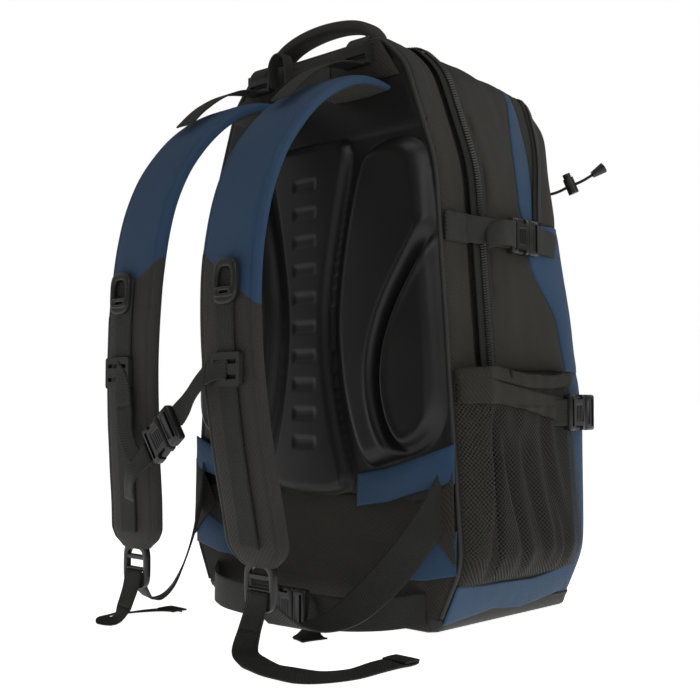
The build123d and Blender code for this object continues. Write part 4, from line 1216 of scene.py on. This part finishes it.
def moulded_block(low, high, bevel):
    """A moulded block between two corners in millimetres, its edges rounded."""
    bpy.ops.object.select_all(action="DESELECT")
    bpy.ops.mesh.primitive_cube_add(size=1.0)
    made = bpy.context.object
    made.scale = [(b - a) * mm for a, b in zip(low, high)]
    made.location = [(a + b) / 2 * mm for a, b in zip(low, high)]
    bpy.ops.object.transform_apply(location=True, rotation=False, scale=True)
    if bevel:
        apply_modifier(made, "BEVEL", width=bevel * mm, segments=3)
    return made


def carve(piece, low, high, bevel=0.0, keep="DIFFERENCE"):
    """Cut a block out of a piece, or join it on."""
    cutter = moulded_block(low, high, bevel)
    apply_modifier(piece, "BOOLEAN", object=cutter, operation=keep, solver="EXACT")
    bpy.data.objects.remove(cutter, do_unlink=True)


def sprung_arm(flip):
    """One arm of the plug: a curved finger with a hooked end, seen in the socket's window."""
    side = [(25, 10.6), (27.5, 15.6), (21, 15.9), (15.5, 16.8), (12.0, 16.9), (10.2, 15.6), (10.0, 13.4), (13, 12.9),
            (19, 12.4)]
    work = bmesh.new()
    face = work.faces.new([work.verts.new((-2.3 * mm, y * mm, z * flip * mm)) for y, z in side])
    grown = bmesh.ops.extrude_face_region(work, geom=[face])
    bmesh.ops.translate(work, verts=[v for v in grown["geom"] if isinstance(v, bmesh.types.BMVert)],
                        vec=(4.6 * mm, 0, 0))
    bmesh.ops.recalc_face_normals(work, faces=work.faces)
    mesh = bpy.data.meshes.new("sprung_arm")
    work.to_mesh(mesh)
    work.free()
    made = placed("sprung_arm", mesh)
    apply_modifier(made, "BEVEL", width=0.5 * mm, segments=2, limit_method="ANGLE", angle_limit=0.5)
    return made


socket_half = moulded_block((-4.5, 0, -17), (4.5, 26, 17), 2.4)
carve(socket_half, (-2.6, 8, -14.6), (2.6, 30, 14.6))
carve(socket_half, (-8, 2.6, -13), (8, 5.8, 13), 0.6)
for low, high in ((12.4, 30), (-30, -12.4)):
    carve(socket_half, (-8, 8.6, low), (8, 20.5, high), 1.2)
carve(socket_half, (3.9, 9.5, -8.5), (9, 22.5, 8.5), 0.5)
for at in (12, 14.5, 17, 19.5):
    carve(socket_half, (3.3, at, -6.5), (4.35, at + 1.1, 6.5), 0.0, "UNION")
plug_half = moulded_block((-4.5, 26.4, -17), (4.5, 41.7, 17), 2.4)
carve(plug_half, (-8, 35.4, -13), (8, 38.6, 13), 0.6)
carve(plug_half, (3.8, 28.6, -11), (9, 33.4, 11), 0.5)
carve(plug_half, (-2.2, 12, -2.2), (2.2, 27.5, 2.2), 0.5, "UNION")
for flip in (1, -1):
    arm = sprung_arm(flip)
    apply_modifier(plug_half, "BOOLEAN", object=arm, operation="UNION", solver="EXACT")
    bpy.data.objects.remove(arm, do_unlink=True)

lean = math.radians(36)
chest = Matrix(((0, math.cos(lean), -math.sin(lean), -3 * mm - 21 * mm * math.cos(lean)), (-1, 0, 0, -276.4 * mm),
                (0, math.sin(lean), math.cos(lean), 174 * mm - 21 * mm * math.sin(lean)), (0, 0, 0, 1)))
hip = Matrix(((0, 1, 0, 20 * mm), (-1, 0, 0, -168 * mm), (0, 0, 1, 20 * mm), (0, 0, 0, 1)))
upper_at = Matrix.Translation(Vector((165.6, -8, 357)) * mm)
lower_at = Matrix.Translation(Vector((193.8, 42, 192)) * mm)
other = Matrix.Diagonal((-1, 1, 1, 1))
for label, place, socket_body, plug_body, socket_node, plug_node in (
        ("upper_right", upper_at, "lid", "upper_prong_right", "upper_sockets", "upper_prong_right"),
        ("upper_left", other @ upper_at, "lid", "upper_prong_left", None, "upper_prong_left"),
        ("lower_right", lower_at, "pack", "lower_prong_right", "lower_sockets", "lower_prong_right"),
        ("lower_left", other @ lower_at, "pack", "lower_prong_left", None, "lower_prong_left"),
        ("hip", hip, "pack", "hip_prong", "hip_socket", "hip_prong"),
        ("sternum", chest, "strap_right", "sternum_prong", "sternum_socket", "sternum_prong")):
    for half, template, body, node in (("socket", socket_half, socket_body, socket_node),
                                       ("plug", plug_half, plug_body, plug_node)):
        made = duplicate(template, label + "_buckle_" + half)
        made.data.transform(place)
        if place.determinant() < 0:
            made.data.flip_normals()
        pick(made)
        bpy.ops.object.shade_smooth_by_angle(angle=0.6)
        sew(made, moulded, body, (node,) if node else (), thickness=0)
for template in (socket_half, plug_half):
    bpy.data.objects.remove(template, do_unlink=True)

# Ladder locks: an oval acetal frame on each strap's tip, with a plain bar for the strap's
# loop and two ridged bars that grip the lower webbing.
for side, flip in (("right", 1), ("left", -1)):
    corners = [v.co for v in nodes["ladder_lock_" + side].data.vertices]
    low, high = (Vector(pick_end(co[k] for co in corners) for k in range(3)) for pick_end in (min, max))
    middle = (low + high) / 2
    lock = ring_piece("ladder_lock_frame_" + side, oval(36, 42, 0.55), oval(25.5, 30, 0.6), 5.4,
                      Matrix.Translation(middle + Vector((0, 0, 3.0 * mm))), moulded, "ladder_lock_" + side,
                      replaced=("ladder_lock_" + side,))
    for at, thick in ((10.5, 4.4), (-0.5, 3.8), (-9.5, 3.8)):
        spot = middle / mm + Vector((0, 0, at))
        carve(lock, spot - Vector((14, 2.2, thick / 2)), spot + Vector((14, 2.2, thick / 2)), 0.9, "UNION")

# Other moulded hardware keeps its own shape: sliders, lifter locks, pulls and cord fittings
# in black acetal, and the two zip sliders in dark plated zinc.
zinc = moulded_finish("dark plated zinc", (0.20, 0.20, 0.205), 0.28, "noise", 0.0015, 0.00004, metallic=0.9)
moulded_nodes = [n for n in nodes if n.startswith(("sternum_slider", "lifter_lock", "main_pull", "pocket_pull",
                                                   "cord_lock", "cord_plunger", "cord_toggle"))]
for name in moulded_nodes + ["main_slider", "pocket_slider"]:
    refinish(name, zinc if name.endswith("_slider") else moulded)

# ---- Solar panel: a laminate sheet bonded to a foam pad, with monocrystalline cells under
# clear film and a stitched textured border that holds it to the bag.


def cell_finish():
    """Blue-black silicon with fine printed silver fingers and wider busbars."""
    made, tree, shader, layout = new_material("silicon cell", coat=1.0)
    place = wire(tree, "ShaderNodeSeparateXYZ", {0: layout["Object"]}).outputs
    finger = calc(tree, "LESS_THAN", calc(tree, "FRACT", calc(tree, "DIVIDE", place[2], 0.0022)), 0.09)
    shifted = calc(tree, "ADD", place[0], 0.5)
    bus = calc(tree, "LESS_THAN", calc(tree, "FRACT", calc(tree, "DIVIDE", shifted, 0.0128)), 0.08)
    printed = calc(tree, "MAXIMUM", calc(tree, "MULTIPLY", finger, 0.35), calc(tree, "MULTIPLY", bus, 0.8))
    grain = wire(tree, "ShaderNodeTexNoise", {"Vector": layout["Object"], "Scale": 30.0, "Detail": 2.0}).outputs["Fac"]
    blue = blended(tree, grain, (0.004, 0.008, 0.030, 1), (0.010, 0.018, 0.060, 1))
    tree.links.new(blended(tree, printed, blue, (0.35, 0.36, 0.38, 1)), shader.inputs["Base Color"])
    shader.inputs["Roughness"].default_value = 0.25
    return made


laminate = moulded_finish("clear-faced laminate", (0.012, 0.013, 0.018), 0.25, "pebble", 0.0008, 0.00004, coat=0.8)
border = moulded_finish("textured border", (0.016, 0.016, 0.016), 0.6, "pebble", 0.0009, 0.0002)
for name, finish in (("solar_cells", cell_finish()), ("solar_sheet", laminate), ("solar_border", border)):
    refinish(name, finish)


def softened(name, node, finish, body, voxel, rounds=6):
    """A cloth-covered soft piece in the space its solid holds, its edges rounded over."""
    made = duplicate(nodes[node], name)
    made.parent = None
    made.matrix_world = Matrix.Identity(4)
    for key in list(made.keys()):
        del made[key]
    apply_modifier(made, "WELD", merge_threshold=0.00002)
    apply_modifier(made, "REMESH", mode="VOXEL", voxel_size=voxel)
    apply_modifier(made, "SMOOTH", factor=0.5, iterations=rounds)
    bpy.ops.object.shade_smooth()
    return sew(made, finish, body, (node,), thickness=0)


padding = moulded_finish("foam pad cover", (0.020, 0.020, 0.018), 0.8, "noise", 0.0007, 0.0004)
lining = moulded_finish("pocket lining cloth", (0.055, 0.058, 0.062), 0.75, "noise", 0.0009, 0.0003)
softened("solar_pad_cover", "solar_pad", padding, "lid", 0.003)
softened("laptop_sleeve_cloth", "laptop_sleeve", lining, "pack", 0.002, rounds=3)
softened("battery_pocket_cloth", "battery_pocket", lining, "lid", 0.0011, rounds=2)
for name in ("battery_pack", "charge_hub"):
    refinish(name, moulded)

# ---- Front pocket on the opening front: a puffed navy pouch under the solar panel, closed
# by a zip across its top.


pouch_wide = 224         # width of the front pocket, in millimetres
pouch_foot = 245         # height of its lower edge
pouch_top = 324          # height of its upper edge, under the zip tape


def pouch_spot(u, v):
    x, z = pouch_wide * (u - 0.5), pouch_foot + v * (pouch_top - pouch_foot)
    spot, out = outside((x * mm, 0, z * mm), (0, 1, 0))
    edge = min(1, u * 14) * min(1, (1 - u) * 14) * min(1, v * 7)
    swell = 10.0 * edge ** 0.6 + 1.6 * noise.noise(Vector((x * 0.02, z * 0.03, 6))) * edge
    return spot + out * ((1.2 + swell) * mm)


pouch = lay_cloth("front_pouch", 76, 32, pouch_spot, (0, 1, 0))
sew(pouch, navy, "lid", ("front_pocket",))


def pouch_tape_spot(u, v):
    x, z = pouch_wide * (v - 0.5), pouch_top - 1 + u * 15
    spot, out = outside((x * mm, 0, z * mm), (0, 1, 0))
    edge = (min(1, v * 14) * min(1, (1 - v) * 14)) ** 0.6
    return spot + out * ((1.2 + 10.0 * edge * (1 - max(0, u - 0.75) * 3.6)) * mm)


pouch_tape = lay_cloth("front_pouch_zip_tape", 8, 80, pouch_tape_spot, (0, 1, 0))
sew(pouch_tape, tape_cloth, "lid", ("pocket_zip_track",), thickness=0.0009)
coil_frames = []
for k, x in enumerate(np.arange(-108, 108, 1.6)):
    spot = pouch_tape_spot(0.47, x / pouch_wide + 0.5) + Vector((0, 0.0012, 0))
    coil_frames.append(Matrix.Translation(spot))
coil = repeat_piece("front_pouch_zip_teeth", small_block((1.1 * mm, 1.8 * mm, 5.2 * mm), 0.0003), coil_frames)
sew(coil, nylon, "lid", thickness=0)

# Organiser zip: a second coil zip that runs up each front corner beside the navy stripe and
# over the top.
organiser = [(377, 49), (402, 52), (423, 59), (446, 71), (464, 77), (485, 80), (505, 82), (540, 86), (630, 88)]


def organiser_spot(height, shift=0.0):
    """A point beside the organiser zip's middle line, and the outward normal there."""
    return side_wall(height * mm, along_list(organiser, height * mm) + shift * mm)


def organiser_tape_spot(u, v):
    spot, out = organiser_spot(376 + v * 254, (u - 0.5) * 15)
    return spot + out * ((2.6 - 0.4 * abs(2 * u - 1) ** 4) * mm)


organiser_tape = lay_cloth("organiser_zip_tape", 6, 84, organiser_tape_spot, (1, 0, 0.4))
sew(organiser_tape, tape_cloth, "lid", thickness=0.0008, mirrored=True, joined=True)
frames = tooth_frames([organiser_spot(height) for height in np.arange(377, 629, 1.9)], 3.6)
organiser_teeth = repeat_piece("organiser_zip_teeth", small_block((5.4 * mm, 1.2 * mm, 1.8 * mm), 0.0004), frames)
sew(organiser_teeth, nylon, "lid", thickness=0)
